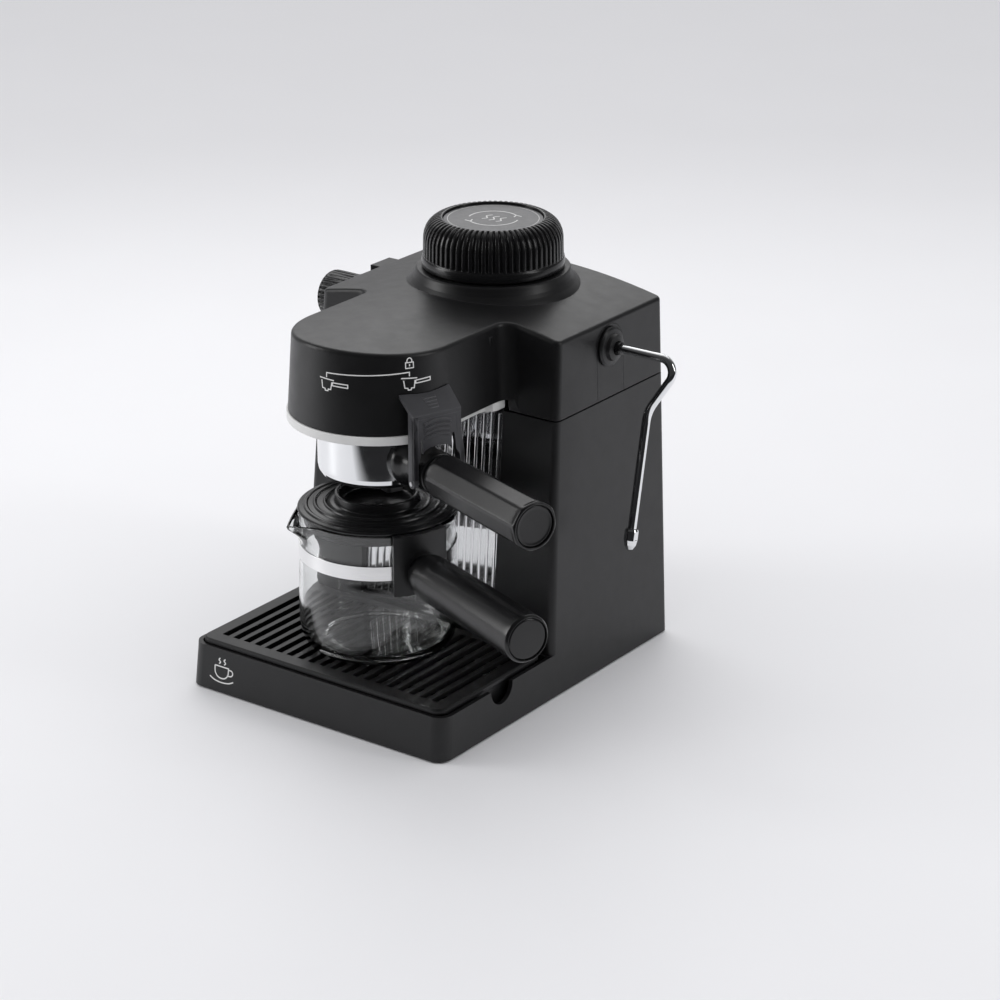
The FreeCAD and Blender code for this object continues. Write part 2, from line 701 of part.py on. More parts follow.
# ---------------------------------------------------------------- boiler cap
def cap_shell():
    """Cap with a fluted grip, an inner threaded skirt and a recess for its disc."""
    profile = [(NECK_RADIUS + FIT, CAP_BOTTOM), (41.6, CAP_BOTTOM), (42.0, CAP_BOTTOM + 2.5),
               (41.4, CAP_BOTTOM + 5.3), (CAP_RADIUS, 236), (CAP_RADIUS - 0.3, 247),
               (39.2, 251.5), (36.4, 255.2), (33.0, 257.2), (30.6, CAP_TOP), (29.5, CAP_TOP),
               (29.5, 255.2), (3.4, 255.2), (3.4, 244.6), (NECK_RADIUS + FIT, 244.6)]
    cap = turned(profile, 0, BOILER_Y)
    pocket = turned([(36.6, CAP_BOTTOM - 1), (38.8, CAP_BOTTOM - 1), (38.4, 246), (36.4, 250),
                     (34.4, 250), (34.8, 246), (36.6, 240)], 0, BOILER_Y)
    cap = cap.cut(pocket)
    groove = turned([(CAP_RADIUS - 1.1, 235.5), (CAP_RADIUS + 1, 235.5), (CAP_RADIUS + 1, 262),
                     (31.2, 262), (31.2, 256.6), (33.0, 256.1), (35.6, 254.2), (38.2, 250.9),
                     (CAP_RADIUS - 1.4, 246.6)])
    slot = groove.common(box(0, 60, -0.75, 0.75, 230, 262))
    for index in range(32):
        cutter = slot.copy()
        cutter.rotate(V(0, 0, 0), V(0, 0, 1), 360.0 * index / 32)
        cutter.translate(V(0, BOILER_Y, 0))
        cap = cap.cut(cutter)
    return cap


def cap_disc():
    return turned([(0, 255.35), (29.2, 255.35), (29.2, 255.9), (28.9, 256.15), (0, 256.15)],
                  0, BOILER_Y)


def cap_seal():
    """Rubber ring that the cap presses on the boiler's mouth, carried on the plug's stem."""
    return turned([(24.4, 240.35), (32.4, 240.35), (32.4, 242.6), (24.4, 242.6)], 0, BOILER_Y)


def relief_plug():
    """Plug that hangs in the neck; it lifts against its spring to let excess steam out."""
    profile = [(3.0, 226.0), (27.6, 226.0), (27.6, 240.0), (24.1, 240.0), (24.1, 243.9),
               (4.2, 243.9), (4.2, 241.8), (22.0, 241.8), (22.0, 229.0), (3.0, 229.0)]
    plug = turned(profile, 0, BOILER_Y)
    for index in range(6):
        plug_vent = rod(2.4, (14 * math.cos(index * math.pi / 3),
                              BOILER_Y + 14 * math.sin(index * math.pi / 3), 225),
                        (14 * math.cos(index * math.pi / 3),
                         BOILER_Y + 14 * math.sin(index * math.pi / 3), 230))
        plug = plug.cut(plug_vent)
    return plug


def relief_valve():
    """Poppet that closes the plug's centre hole from above, with a stem guided by the lid."""
    return turned([(0, 227.4), (2.0, 227.4), (2.6, 228.6), (2.6, 229.1), (5.6, 229.1),
                   (5.6, 230.9), (2.6, 231.1), (2.6, 243.4), (0, 243.4)], 0, BOILER_Y)


def relief_spring():
    turns = 5
    low, high = 231.5, 241.2
    radius = 4.9
    helix = Part.makeHelix((high - low) / turns, high - low, radius)
    section = Part.Wire([Part.Circle(V(radius, 0, 0), V(0, 1, 0), 0.5).toShape()])
    spring = Part.Wire(helix).makePipeShell([section], True, True)
    spring.translate(V(0, BOILER_Y, low))
    return spring


# ---------------------------------------------------------------- filter holder
def filter_bowl():
    """Chromed bowl with two locking ears near its rim."""
    r = BOWL_RADIUS
    z = BOWL_BOTTOM
    profile = [(5.0, z), (30.4, z), (33.0, z + 1.2), (34.4, z + 3.4), (r, z + 6), (r, 182.6),
               (32.2, 182.6), (32.2, z + 8), (31.0, z + 5.5), (28.0, z + 3.2), (5.0, z + 3.2)]
    bowl = turned(profile)
    for start in (25.0, 205.0):
        ear = Part.makeCylinder(40.7, 2.4, V(0, 0, 176.6), V(0, 0, 1), 44)
        ear = ear.cut(Part.makeCylinder(r - 1.0, 10, V(0, 0, 172)))
        ear.rotate(V(0, 0, 0), V(0, 0, 1), start)
        bowl = bowl.fuse(ear)
    bowl = bowl.removeSplitter()
    bowl.translate(V(0, BREW_Y, 0))
    screw_hole = rod(2.6, (30, 0, HANDLE_Z), (40, 0, HANDLE_Z))
    return bowl.cut(placed(screw_hole, FILTER_TURN, BREW_Y))


def filter_basket():
    """Pressed cup that holds the coffee, hung in the bowl by its rolled rim."""
    profile = [(0, 160.0), (29.0, 160.0), (31.2, 162.4), (31.5, 182.8), (34.6, 182.8),
               (34.6, 183.2), (30.9, 183.2), (30.6, 162.8), (28.8, 160.7), (0, 160.7)]
    basket = turned(profile, 0, BREW_Y)
    for count, radius in ((6, 8.0), (12, 16.0), (18, 24.0)):
        for index in range(count):
            angle = 2 * math.pi * index / count
            x = radius * math.cos(angle)
            y = BREW_Y + radius * math.sin(angle)
            basket = basket.cut(rod(0.7, (x, y, 159), (x, y, 162)))
    return basket


def filter_spout():
    """Black outlet under the bowl that splits the coffee into two streams."""
    z = BOWL_BOTTOM - 0.2
    boss = turned([(2.2, z - 3.2), (12.4, z - 3.2), (13.2, z), (4.8, z), (4.8, z + 4.5),
                   (2.2, z + 4.5)])
    arms = box(-17.5, 17.5, -5.2, 5.2, z - 7.6, z - 2.6)
    arms = soften(arms, 2.2, lambda edge: abs(abs(edge.CenterOfMass.x) - 17.5) < 0.1
                  and abs(edge.CenterOfMass.z - z + 5.1) < 0.2)
    spout = boss.fuse(arms)
    spout = spout.cut(box(-14.5, 14.5, -2.2, 2.2, z - 5.4, z - 3.4))
    spout = spout.cut(rod(2.1, (0, 0, z - 5), (0, 0, z + 6)))
    for x in (-12.5, 12.5):
        spout = spout.cut(rod(2.1, (x, 0, z - 9), (x, 0, z - 4)))
    return placed(spout.removeSplitter(), FILTER_TURN, BREW_Y)


def handle_neck():
    """Flared root of the filter handle, shaped to the bowl, with the retainer's pin hole."""
    z = HANDLE_Z
    neck = turned_x([(0, 30), (15.2, 30), (15.2, 37.5), (14.0, 40.5), (12.8, 43.0),
                     (NECK_HALF, 47), (NECK_HALF, 64), (0, 64)], 0, z)
    neck = neck.cut(rod(BOWL_RADIUS + 0.15, (0, 0, 100), (0, 0, 200)))
    neck = neck.cut(rod(CLIP_PIN, (CLIP_PIN_X, -20, CLIP_PIN_Z), (CLIP_PIN_X, 20, CLIP_PIN_Z)))
    neck = neck.cut(rod(2.6, (30, 0, z), (70, 0, z)))
    return placed(neck, FILTER_TURN, BREW_Y)


def filter_handle():
    """Barrel grip with softly flattened sides, growing towards its end."""
    z = HANDLE_Z
    grip = turned_x([(0, 64.2), (10.5, 64.2), (12.4, 66), (13.2, 70), (HANDLE_RADIUS, 150),
                     (HANDLE_RADIUS, HANDLE_END - 1.2), (HANDLE_RADIUS - 1.2, HANDLE_END),
                     (11.9, HANDLE_END), (11.9, HANDLE_END - 2.0), (0, HANDLE_END - 2.0)], 0, z)
    for side in range(8):
        flat = box(60, HANDLE_END + 1, -20, 20, 13.1, 20)
        flat.rotate(V(0, 0, 0), V(0, 1, 0), -0.35)
        flat.rotate(V(0, 0, 0), V(1, 0, 0), 45 * side)
        flat.translate(V(0, 0, z))
        grip = grip.cut(flat)
    grip = grip.cut(rod(2.6, (60, 0, z), (120, 0, z)))
    return placed(grip, FILTER_TURN, BREW_Y)


def handle_end_disc():
    disc = turned_x([(0, HANDLE_END - 1.8), (11.6, HANDLE_END - 1.8), (11.6, HANDLE_END - 1.0),
                     (11.0, HANDLE_END - 0.6), (0, HANDLE_END - 0.6)], 0, HANDLE_Z)
    return placed(disc, FILTER_TURN, BREW_Y)


def handle_bolt():
    bolt = rod(2.4, (31.5, 0, HANDLE_Z), (116, 0, HANDLE_Z))
    head = rod(4.0, (29.2, 0, HANDLE_Z), (31.6, 0, HANDLE_Z))
    return placed(joined(bolt, head), FILTER_TURN, BREW_Y)


def slab_x(outline, x0, x1):
    """A plate between x0 and x1 with an outline of (y, z)."""
    points = [V(x0, y, z) for y, z in outline]
    return Part.Face(Part.makePolygon(points + points[:1])).extrude(V(x1 - x0, 0, 0))


def clip_leg(side, flare, depth, inner):
    """One leg of the retainer, from its top down to the pin; inner is its inner edge."""
    outer = CLIP_HALF
    outline = [(outer, CLIP_TOP), (outer, 176), (outer + flare, 155), (outer + flare, CLIP_PIN_Z)]
    outline += [(y + flare * share, z) for y, z, share in inner]
    return slab_x([(side * y, z) for y, z in outline], CLIP_FACE - depth, CLIP_FACE)


def basket_retainer():
    """Thumb clip that straddles the neck and stands against the nose."""
    half = CLIP_HALF
    inside = half - CLIP_LEG
    face = CLIP_FACE
    plate = box(face - 2.6, face, -half, half, 174, CLIP_TOP)
    tongue = box(face - 2.6, face, -9.4, 9.4, 164.8, 175)
    tongue = tongue.cut(rod(18.0, (40, 0, 150.4), (70, 0, 150.4)))
    clip = plate.fuse(tongue)
    deep_edge = [(inside, CLIP_PIN_Z, 1), (inside, 155, 1), (inside, 176, 0), (inside, CLIP_TOP, 0)]
    front_edge = [(inside + 0.2, CLIP_PIN_Z, 1), (inside + 0.2, 158, 1), (11.0, 164.5, 0.5),
                  (11.0, 176, 0)]
    for side, flare in ((-1, 0.0), (1, CLIP_FLARE)):
        clip = clip.fuse(clip_leg(side, flare, 5.8, deep_edge))
        clip = clip.fuse(clip_leg(side, flare, 2.6, front_edge))
        low, high = sorted((side * (inside + flare), side * (half + flare)))
        clip = clip.fuse(rod(2.9, (CLIP_PIN_X, low, CLIP_PIN_Z), (CLIP_PIN_X, high, CLIP_PIN_Z)))
    rise = (CLIP_ROOF - CLIP_TOP) / (face - 49.2)
    roof = [(face, CLIP_TOP), (46.0, CLIP_TOP + rise * (face - 46.0)),
            (46.0, CLIP_TOP - 3.2 + rise * (face - 46.0)), (face, CLIP_TOP - 3.2)]
    points = [V(x, -half, z) for x, z in roof]
    clip = clip.fuse(Part.Face(Part.makePolygon(points + points[:1])).extrude(V(0, 2 * half, 0)))
    near_nose = turned([(0, 150), (nose_radius(150) + FIT + 0.1, 150),
                        (nose_radius(220) + FIT + 0.1, 220), (0, 220)])
    clip = clip.cut(near_nose)
    pin_hole = CLIP_PIN + PIN_FIT
    clip = clip.cut(rod(pin_hole, (CLIP_PIN_X, -30, CLIP_PIN_Z), (CLIP_PIN_X, 30, CLIP_PIN_Z)))
    for row in range(4):
        z = 175.6 + 2.6 * row
        clip = clip.fuse(box(face - 0.3, face + 0.6, -8, 8, z, z + 1.1))
    return placed(clip.removeSplitter(), FILTER_TURN, BREW_Y)


def retainer_pin():
    near = (CLIP_PIN_X, -CLIP_HALF - 0.5, CLIP_PIN_Z)
    far = (CLIP_PIN_X, CLIP_HALF + CLIP_FLARE + 0.5, CLIP_PIN_Z)
    return placed(rod(CLIP_PIN, near, far), FILTER_TURN, BREW_Y)


# ---------------------------------------------------------------- carafe
def polar(radius, turn, z):
    angle = math.radians(turn)
    return V(radius * math.cos(angle), radius * math.sin(angle), z)


def four_faced(points):
    """The solid between four corners."""
    faces = []
    for skip in range(4):
        corners = [p for index, p in enumerate(points) if index != skip]
        faces.append(Part.Face(Part.makePolygon(corners + corners[:1])))
    return Part.makeSolid(Part.makeShell(faces))


def lip(inset):
    """The pouring lip's form, drawn out from the rim to a point."""
    r = GLASS_RADIUS - inset
    return four_faced([polar(r, SPOUT_TURN - 24, RIM_Z), polar(r, SPOUT_TURN + 24, RIM_Z),
                       polar(55.0 - 1.6 * inset, SPOUT_TURN, RIM_Z - 3.2 + 0.8 * inset),
                       polar(GLASS_RADIUS - 2.0 - inset, SPOUT_TURN, 94.0 + 1.5 * inset)])


def carafe_glass():
    z = GRID_TOP + FIT
    r = GLASS_RADIUS
    t = GLASS_WALL
    outside = [(0, z + 0.8), (30, z + 0.8), (36, z), (40.5, z + 1.5), (43.8, z + 5),
               (r, z + 12), (r + 0.3, z + 28), (r - 0.2, 78), (r - 0.9, 84), (r - 0.9, 97),
               (r, 103), (r + 0.5, RIM_Z)]
    inside = [(r + 0.5 - t, RIM_Z), (r - t, 103), (r - 0.9 - t, 97), (r - 0.9 - t, 84),
              (r - 0.2 - t, 78), (r + 0.3 - t, z + 28), (r - t, z + 12), (41.8, z + 6.6),
              (38.0, z + 3.6), (0, z + 3.2)]
    outer = turned(outside + [(0, RIM_Z)])
    inner = turned([(0, z + 3.2), (0, RIM_Z + 1), (r + 0.5 - t, RIM_Z + 1)] + inside[1:-1])
    cup = outer.fuse(lip(0)).cut(inner).cut(lip(t))
    cup = cup.removeSplitter()
    cup.translate(V(0, CARAFE_Y, 0))
    return cup


def carafe_band():
    """Steel strap round the glass, open at the handle where its ends are clamped."""
    r = GLASS_RADIUS - 0.9
    strap = tube(r + 0.75, r + 0.05, (0, 0, BAND_Z - 4.2), (0, 0, BAND_Z + 4.2))
    strap = strap.cut(box(30, 60, -5, 5, 80, 100))
    for side in (-1, 1):
        low, high = sorted((side * 5.0, side * 5.7))
        tab = box(r - 0.3, 52.4, low, high, BAND_Z - 4.2, BAND_Z + 4.2)
        strap = strap.fuse(tab.cut(rod(r + 0.05, (0, 0, 80), (0, 0, 100))))
    return placed(strap.removeSplitter(), CARAFE_TURN, CARAFE_Y)


def carafe_bracket():
    """Black saddle between the glass and the handle, with a thumb rest at the rim."""
    r = GLASS_RADIUS
    saddle = tube(r + 4.6, r + 0.7, (0, 0, 77.5), (0, 0, RIM_Z + 0.4))
    wedge = Part.makeCylinder(70, 60, V(0, 0, 70), V(0, 0, 1), 40)
    wedge.rotate(V(0, 0, 0), V(0, 0, 1), -20)
    saddle = saddle.common(wedge)
    saddle = saddle.cut(box(40, 53, -6.0, 6.0, BAND_Z - 4.6, BAND_Z + 4.6))
    saddle = saddle.cut(tube(r + 1.0, r - 3, (0, 0, BAND_Z - 4.5), (0, 0, BAND_Z + 4.5)))
    return placed(saddle.removeSplitter(), CARAFE_TURN, CARAFE_Y)


def carafe_handle():
    z = BAND_Z
    r = CARAFE_HANDLE_RADIUS
    end = CARAFE_HANDLE_END
    grip = turned_x([(0, 44), (9.5, 44), (11.6, 53), (12.9, 58), (13.3, 64), (r, 120), (r, end - 1.2),
                     (r - 1.2, end), (12.0, end), (12.0, end - 1.6), (0, end - 1.6)], 0, z)
    grip = grip.cut(rod(GLASS_RADIUS + 4.75, (0, 0, 60), (0, 0, 130)))
    grip = grip.cut(box(40, 53, -6.0, 6.0, z - 4.6, z + 4.6))
    return placed(grip, CARAFE_TURN, CARAFE_Y)


def carafe_end_disc():
    end = CARAFE_HANDLE_END
    disc = turned_x([(0, end - 1.45), (11.7, end - 1.45), (11.7, end - 0.6), (11.2, end - 0.3),
                     (0, end - 0.3)], 0, BAND_Z)
    return placed(disc, CARAFE_TURN, CARAFE_Y)


def band_screw():
    screw = rod(1.6, (49.6, -4.9, BAND_Z), (49.6, 4.9, BAND_Z))
    return placed(screw, CARAFE_TURN, CARAFE_Y)


def carafe_lid():
    """Black lid with stepped rings and a raised collar round its centre hole."""
    profile = [(9.0, 113.6), (9.0, 115.0), (21.6, 115.4), (21.6, 122.2), (22.6, 122.8),
               (24.0, 122.2), (24.6, 117.0), (34.6, 116.6), (35.2, 117.4), (36.4, 116.4),
               (41.0, 115.6), (41.8, 116.2), (44.8, 114.6), (45.6, 113.2), (42.2, 113.2),
               (42.2, 105.5), (40.4, 105.5), (40.4, 113.2)]
    lid = turned(profile)
    notch = box(30, 60, -7, 7, 100, 113.1)
    notch.rotate(V(0, 0, 0), V(0, 0, 1), SPOUT_TURN)
    lid = lid.cut(notch)
    for index in range(3):
        angle = 120 * index
        hole = rod(1.6, (15, 0, 110), (15, 0, 118))
        hole.rotate(V(0, 0, 0), V(0, 0, 1), angle)
        lid = lid.cut(hole)
    lid.translate(V(0, CARAFE_Y, 0))
    return lid


# ---------------------------------------------------------------- drip grid and tray
GRID_FRONT = -108.6
GRID_REAR = -11.2
GRID_HALF = 87.6
SLOT_PITCH = 8.0
SLOT_WIDTH = 4.6


def drip_grid():
    wires = [rounded_rectangle(-GRID_HALF, GRID_HALF, GRID_FRONT, GRID_REAR, z, 7.0)
             for z in (BASE_TOP + 0.5, GRID_TOP - 0.9)]
    plate = Part.makeLoft(wires, True, True)
    inset = 1.1
    top = [rounded_rectangle(-GRID_HALF + shift, GRID_HALF - shift, GRID_FRONT + shift,
                             GRID_REAR - shift, z, 7.0 - shift)
           for shift, z in ((0.0, GRID_TOP - 0.9), (inset, GRID_TOP))]
    plate = plate.fuse(Part.makeLoft(top, True, True)).removeSplitter()
    cutters = []
    for index in range(20):
        x = (index - 9.5) * SLOT_PITCH
        half = SLOT_WIDTH / 2
        cutters.append(box(x - half, x + half, GRID_FRONT + 9.5, GRID_REAR - 7.0, 20, 40))
    plate = plate.cut(Part.makeCompound(cutters))
    for y in (-84.0, -36.0):
        bar = box(-80, 80, y - 1.2, y + 1.2, BASE_TOP - 2.2, BASE_TOP + 0.6)
        plate = plate.fuse(bar)
    return plate.removeSplitter()


def drip_tray():
    """Shallow basin under the grid, standing on the base's floor."""
    levels = [(-84.5, 84.5, -105.0, -12.6, 4.4), (-85.6, 85.6, -106.2, -12.2, BASE_TOP + 0.2)]
    outer = drafted(levels[0], levels[1], 6.0)
    inner_levels = [(-82.9, 82.9, -103.4, -14.2, 6.0),
                    (-84.0, 84.0, -104.6, -13.8, BASE_TOP + 0.4)]
    inner = drafted(inner_levels[0], inner_levels[1], 4.5)
    return outer.cut(inner)


# ---------------------------------------------------------------- export
NODES = [housing, rear_cover, base_plate, feet, casing_screws, head_cover, wand_insert,
         brew_head_plate, plate_screws, ribbed_panel, switch_housing, rocker, indicator_lens, boiler,
         boiler_screws, heating_element, thermostat, thermal_fuse, steam_valve, valve_spindle,
         steam_pipe, brew_pipe, group_casting, group_gasket, shower_screen, shower_screw,
         terminal_block, wiring, cord_gland, wand_socket, steam_knob, knob_face, steam_tube,
         wand_ball, steam_nozzle, cap_shell, cap_disc, cap_seal, relief_plug, relief_valve,
         relief_spring, filter_bowl, filter_basket, filter_spout, handle_neck, filter_handle,
         handle_end_disc, handle_bolt, basket_retainer, retainer_pin, carafe_glass, carafe_band,
         carafe_bracket, carafe_handle, carafe_end_disc, band_screw, carafe_lid, drip_grid,
         drip_tray]

os.makedirs("parts", exist_ok=True)
for build in NODES:
    shape = build()
    shape.exportStep("parts/" + build.__name__ + ".step")
    print(build.__name__, len(shape.Solids), round(shape.Volume), shape.isValid())
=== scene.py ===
import json
import math

import bmesh
import bpy
from mathutils import Matrix, Vector


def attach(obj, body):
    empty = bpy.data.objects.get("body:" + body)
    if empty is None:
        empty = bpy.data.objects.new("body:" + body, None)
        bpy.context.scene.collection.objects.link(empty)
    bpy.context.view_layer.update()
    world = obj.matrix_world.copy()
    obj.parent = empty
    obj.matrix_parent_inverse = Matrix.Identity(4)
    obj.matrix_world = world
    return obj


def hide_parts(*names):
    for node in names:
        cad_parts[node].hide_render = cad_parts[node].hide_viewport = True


# The looks of a small espresso machine: materials for every node of the frame, finer pieces in
# place of the nodes that show most, printed signs, and the studio they stand in.
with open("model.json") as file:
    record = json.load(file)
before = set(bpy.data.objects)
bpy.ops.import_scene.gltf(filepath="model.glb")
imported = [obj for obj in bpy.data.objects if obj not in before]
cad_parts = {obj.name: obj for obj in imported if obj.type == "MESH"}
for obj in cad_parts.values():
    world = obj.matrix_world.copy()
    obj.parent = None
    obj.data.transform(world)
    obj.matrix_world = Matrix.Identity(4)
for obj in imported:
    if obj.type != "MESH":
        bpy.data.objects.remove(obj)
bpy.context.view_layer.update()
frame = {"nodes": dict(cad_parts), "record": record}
NODES = frame["nodes"]
MM = 0.001

# ------------------------------------------------------------------ sizes, in mm and degrees
# Upright axes of the brew head, the boiler and the carafe, all at x = 0
BREW_Y = -48.8
BOILER_Y = 60.9
CARAFE_Y = -51.3

# Front of the base: where it meets the table, and how far it leans back per mm of height
BASE_FRONT = -113.8
FRONT_DRAFT = 0.108

# Nose: a cone that leans in towards its top
NOSE_RADIUS = 51.0
NOSE_FOOT_Z = 173.4
NOSE_LEAN = 0.067

# Brew head plate
PLATE_Z = 168.0
PLATE_THICK = 5.1
PLATE_EDGE = 51.9
PLATE_HOLE = 42.3

# Boiler cap
DISC_TOP = 256.15
FLUTES = 64
FLUTE_DEPTH = 1.35
FLUTE_FOOT = 235.2

# Filter holder
FILTER_TURN = -20.0
HANDLE_Z = 152.0
BOWL_RADIUS = 35.08
GRIP_SIDES = 8
MOULD_LINE = 236

# Basket retainer, in the filter holder's own directions
CLIP_FACE = 61.0
CLIP_HALF = 15.5
CLIP_LEG = 3.0
CLIP_FLARE = 2.5
CLIP_TOP = 187.8
CLIP_ROOF = 196.2
CLIP_PIN_X = 58.1
CLIP_PIN_Z = 147.9
CLIP_FOOT = 2.9
CLIP_BACK = 49.5
CLIP_GAP = 0.45

# Carafe
CARAFE_TURN = -21.7
SPOUT_TURN = -121.0
SPOUT_HALF = 27
SPOUT_FOOT_Z = 93.0
BAND_Z = 90.0
RIM_Z = 112.8
GLASS_FOOT = 30.3
BRACKET_RADIUS = 50.3

# Steam knob
KNOB_Y = 51.2
KNOB_Z = 191.8
KNOB_COLLAR = 15.8
KNURLS = 30
KNURL_DEPTH = 0.95
KNURL_START = -93.6

# Printed signs
CUP_X = -66.0
CUP_Z = 13.0


# ------------------------------------------------------------------ materials
class Graph:
    """Adds shader nodes to a node tree and links them."""

    def __init__(self, tree):
        self.tree = tree

    def add(self, kind, **settings):
        """A new node of this kind, with its own settings."""
        node = self.tree.nodes.new("ShaderNode" + kind)
        for key, value in settings.items():
            setattr(node, key, value)
        return node

    def link(self, source, out, target, into):
        self.tree.links.new(source.outputs[out], target.inputs[into])

    def ramp(self, source, out, stops):
        """Colours from an output, with (position, colour) stops."""
        node = self.add("ValToRGB")
        while len(node.color_ramp.elements) < len(stops):
            node.color_ramp.elements.new(0.5)
        for element, (position, colour) in zip(node.color_ramp.elements, stops):
            element.position = position
            element.color = (*colour, 1.0)
        self.link(source, out, node, "Fac")
        return node


class Surface(Graph):
    """A new material with a Principled shader and its object coordinates."""

    def __init__(self, name):
        self.material = bpy.data.materials.new(name)
        self.material.use_nodes = True
        super().__init__(self.material.node_tree)
        self.tree.nodes.clear()
        self.output = self.add("OutputMaterial")
        self.shader = self.add("BsdfPrincipled")
        self.link(self.shader, "BSDF", self.output, "Surface")
        self.place = self.add("TexCoord")

    def noise(self, scale, detail=3.0, rough=0.55, stretch=None):
        """A noise texture, which stretch draws out into brush marks."""
        texture = self.add("TexNoise")
        texture.inputs["Scale"].default_value = scale
        texture.inputs["Detail"].default_value = detail
        texture.inputs["Roughness"].default_value = rough
        if stretch:
            mapping = self.add("Mapping")
            mapping.inputs["Scale"].default_value = stretch
            self.link(self.place, "Object", mapping, "Vector")
            self.link(mapping, "Vector", texture, "Vector")
        else:
            self.link(self.place, "Object", texture, "Vector")
        return texture

    def bump(self, texture, height):
        """Raises the surface by the texture's own factor, over a height in mm."""
        node = self.add("Bump")
        node.inputs["Strength"].default_value = 1.0
        node.inputs["Distance"].default_value = height * MM
        self.link(texture, "Fac", node, "Height")
        return node

    def spread(self, source, out, low, high, start=0.3, end=0.7):
        """Maps an output's start to end onto low to high."""
        node = self.add("MapRange")
        for socket, value in (("From Min", start), ("From Max", end),
                              ("To Min", low), ("To Max", high)):
            node.inputs[socket].default_value = value
        self.link(source, out, node, "Value")
        return node


# The Mix node's colour sockets share their names with others, so they go by number
COLOUR_A = 6
COLOUR_B = 7
COLOUR_OUT = 2


def shade(colour, factor):
    """A colour made lighter or darker."""
    return tuple(min(1.0, c * factor) for c in colour)


def finish(name, colour, rough, vary=0.15, patch=45.0, grain=None, edge=0.0, painted_edge_highlight=None,
           stretch=None, smudge=260.0, **sockets):
    """A finished material: uneven colour and gloss, a moulded or rolled grain, edges that
    look rounded, and a painted highlight: a lighter colour along every edge. grain is (scale,
    height in mm) and edge a radius in mm; other settings go to the shader's sockets, with _ for a
    space."""
    g = Surface(name)
    blotch = g.noise(patch, 4.0)
    tint = g.ramp(blotch, "Fac", [(0.3, shade(colour, 1 - vary)), (0.7, shade(colour, 1 + vary))])
    gloss = g.noise(smudge, 5.0, 0.6, stretch)
    uneven = g.spread(gloss, "Fac", rough[0], rough[1])
    normal = None
    if edge:
        normal = g.add("Bevel", samples=4)
        normal.inputs["Radius"].default_value = edge * MM
    if grain:
        scale, height = grain
        bump = g.bump(g.noise(scale, 2.0, 0.5, stretch), height)
        if normal:
            g.link(normal, "Normal", bump, "Normal")
        g.link(bump, "Normal", g.shader, "Normal")
    elif normal:
        g.link(normal, "Normal", g.shader, "Normal")
    # Painted highlight: the colour turns lighter where the rounded-edge normal turns away from the
    # true one, along every edge
    if painted_edge_highlight and normal:
        facing = g.add("NewGeometry")
        dot = g.add("VectorMath", operation="DOT_PRODUCT")
        g.link(normal, "Normal", dot, 0)
        g.link(facing, "Normal", dot, 1)
        painted_highlight_mask = g.spread(dot, "Value", 1.0, 0.0, 0.80, 0.985)
        mix = g.add("Mix", data_type="RGBA")
        g.link(painted_highlight_mask, "Result", mix, "Factor")
        g.link(tint, "Color", mix, COLOUR_A)
        mix.inputs[COLOUR_B].default_value = (*painted_edge_highlight, 1.0)
        g.link(mix, COLOUR_OUT, g.shader, "Base Color")
    else:
        g.link(tint, "Color", g.shader, "Base Color")
    g.link(uneven, "Result", g.shader, "Roughness")
    for key, value in sockets.items():
        g.shader.inputs[key.replace("_", " ")].default_value = value
    return g.material


BLACK = (0.0075, 0.0075, 0.0082)
FINISHES = {
    # casing_black and clip_grey get a painted edge highlight, a lighter colour along all their
    # edges
    "casing_black": finish("casing_black", BLACK, (0.36, 0.42), grain=(2600, 0.012), edge=0.55,
                           smudge=120.0, painted_edge_highlight=(0.026, 0.026, 0.028)),
    "gloss_black": finish("gloss_black", (0.006, 0.006, 0.0065), (0.08, 0.16), edge=0.3),
    "grip_black": finish("grip_black", (0.0065, 0.0065, 0.007), (0.235, 0.27), smudge=70.0,
                         grain=(2400, 0.0025), edge=0.3),
    "clip_grey": finish("clip_grey", (0.042, 0.042, 0.047), (0.36, 0.46), grain=(2400, 0.010),
                        edge=0.4, painted_edge_highlight=(0.16, 0.16, 0.17)),
    "plate_grey": finish("plate_grey", (0.74, 0.74, 0.73), (0.38, 0.48), vary=0.05,
                         grain=(2200, 0.010), edge=0.3),
    "label_grey": finish("label_grey", (0.085, 0.085, 0.088), (0.30, 0.38), vary=0.06,
                         grain=(5200, 0.014), Metallic=0.35),
    "rubber_black": finish("rubber_black", (0.022, 0.022, 0.022), (0.7, 0.85),
                           grain=(1800, 0.02), edge=0.3),
    "seal_rubber": finish("seal_rubber", (0.42, 0.12, 0.07), (0.55, 0.7), grain=(1500, 0.02)),
    "steel_sheet": finish("steel_sheet", (0.80, 0.80, 0.81), (0.05, 0.08), vary=0.02,
                          smudge=1600.0, stretch=(1, 1, 0.02), Metallic=1.0),
    "steel_band": finish("steel_band", (0.88, 0.88, 0.88), (0.18, 0.26), vary=0.03,
                         smudge=1800.0, stretch=(0.03, 0.03, 1), Metallic=1.0, edge=0.15),
    "steel_screw": finish("steel_screw", (0.56, 0.56, 0.57), (0.25, 0.4), vary=0.1,
                          grain=(1400, 0.01), Metallic=1.0, edge=0.15),
    "chrome": finish("chrome", (0.86, 0.87, 0.88), (0.03, 0.075), vary=0.02, smudge=90.0,
                     Metallic=1.0),
    "cast_alloy": finish("cast_alloy", (0.5, 0.5, 0.5), (0.45, 0.62), vary=0.15,
                         grain=(700, 0.08), Metallic=1.0, edge=0.4),
    "brass": finish("brass", (0.68, 0.47, 0.17), (0.22, 0.36), vary=0.1,
                    grain=(900, 0.01), stretch=(0.1, 1, 1), Metallic=1.0, edge=0.2),
    "lamp_red": finish("lamp_red", (0.5, 0.02, 0.012), (0.12, 0.2), grain=(900, 0.01),
                       Transmission_Weight=0.35),
    "wire_white": finish("wire_white", (0.66, 0.65, 0.6), (0.55, 0.7), grain=(1600, 0.05)),
    "block_white": finish("block_white", (0.74, 0.73, 0.67), (0.25, 0.35), vary=0.06,
                          grain=(1200, 0.008), edge=0.3),
}


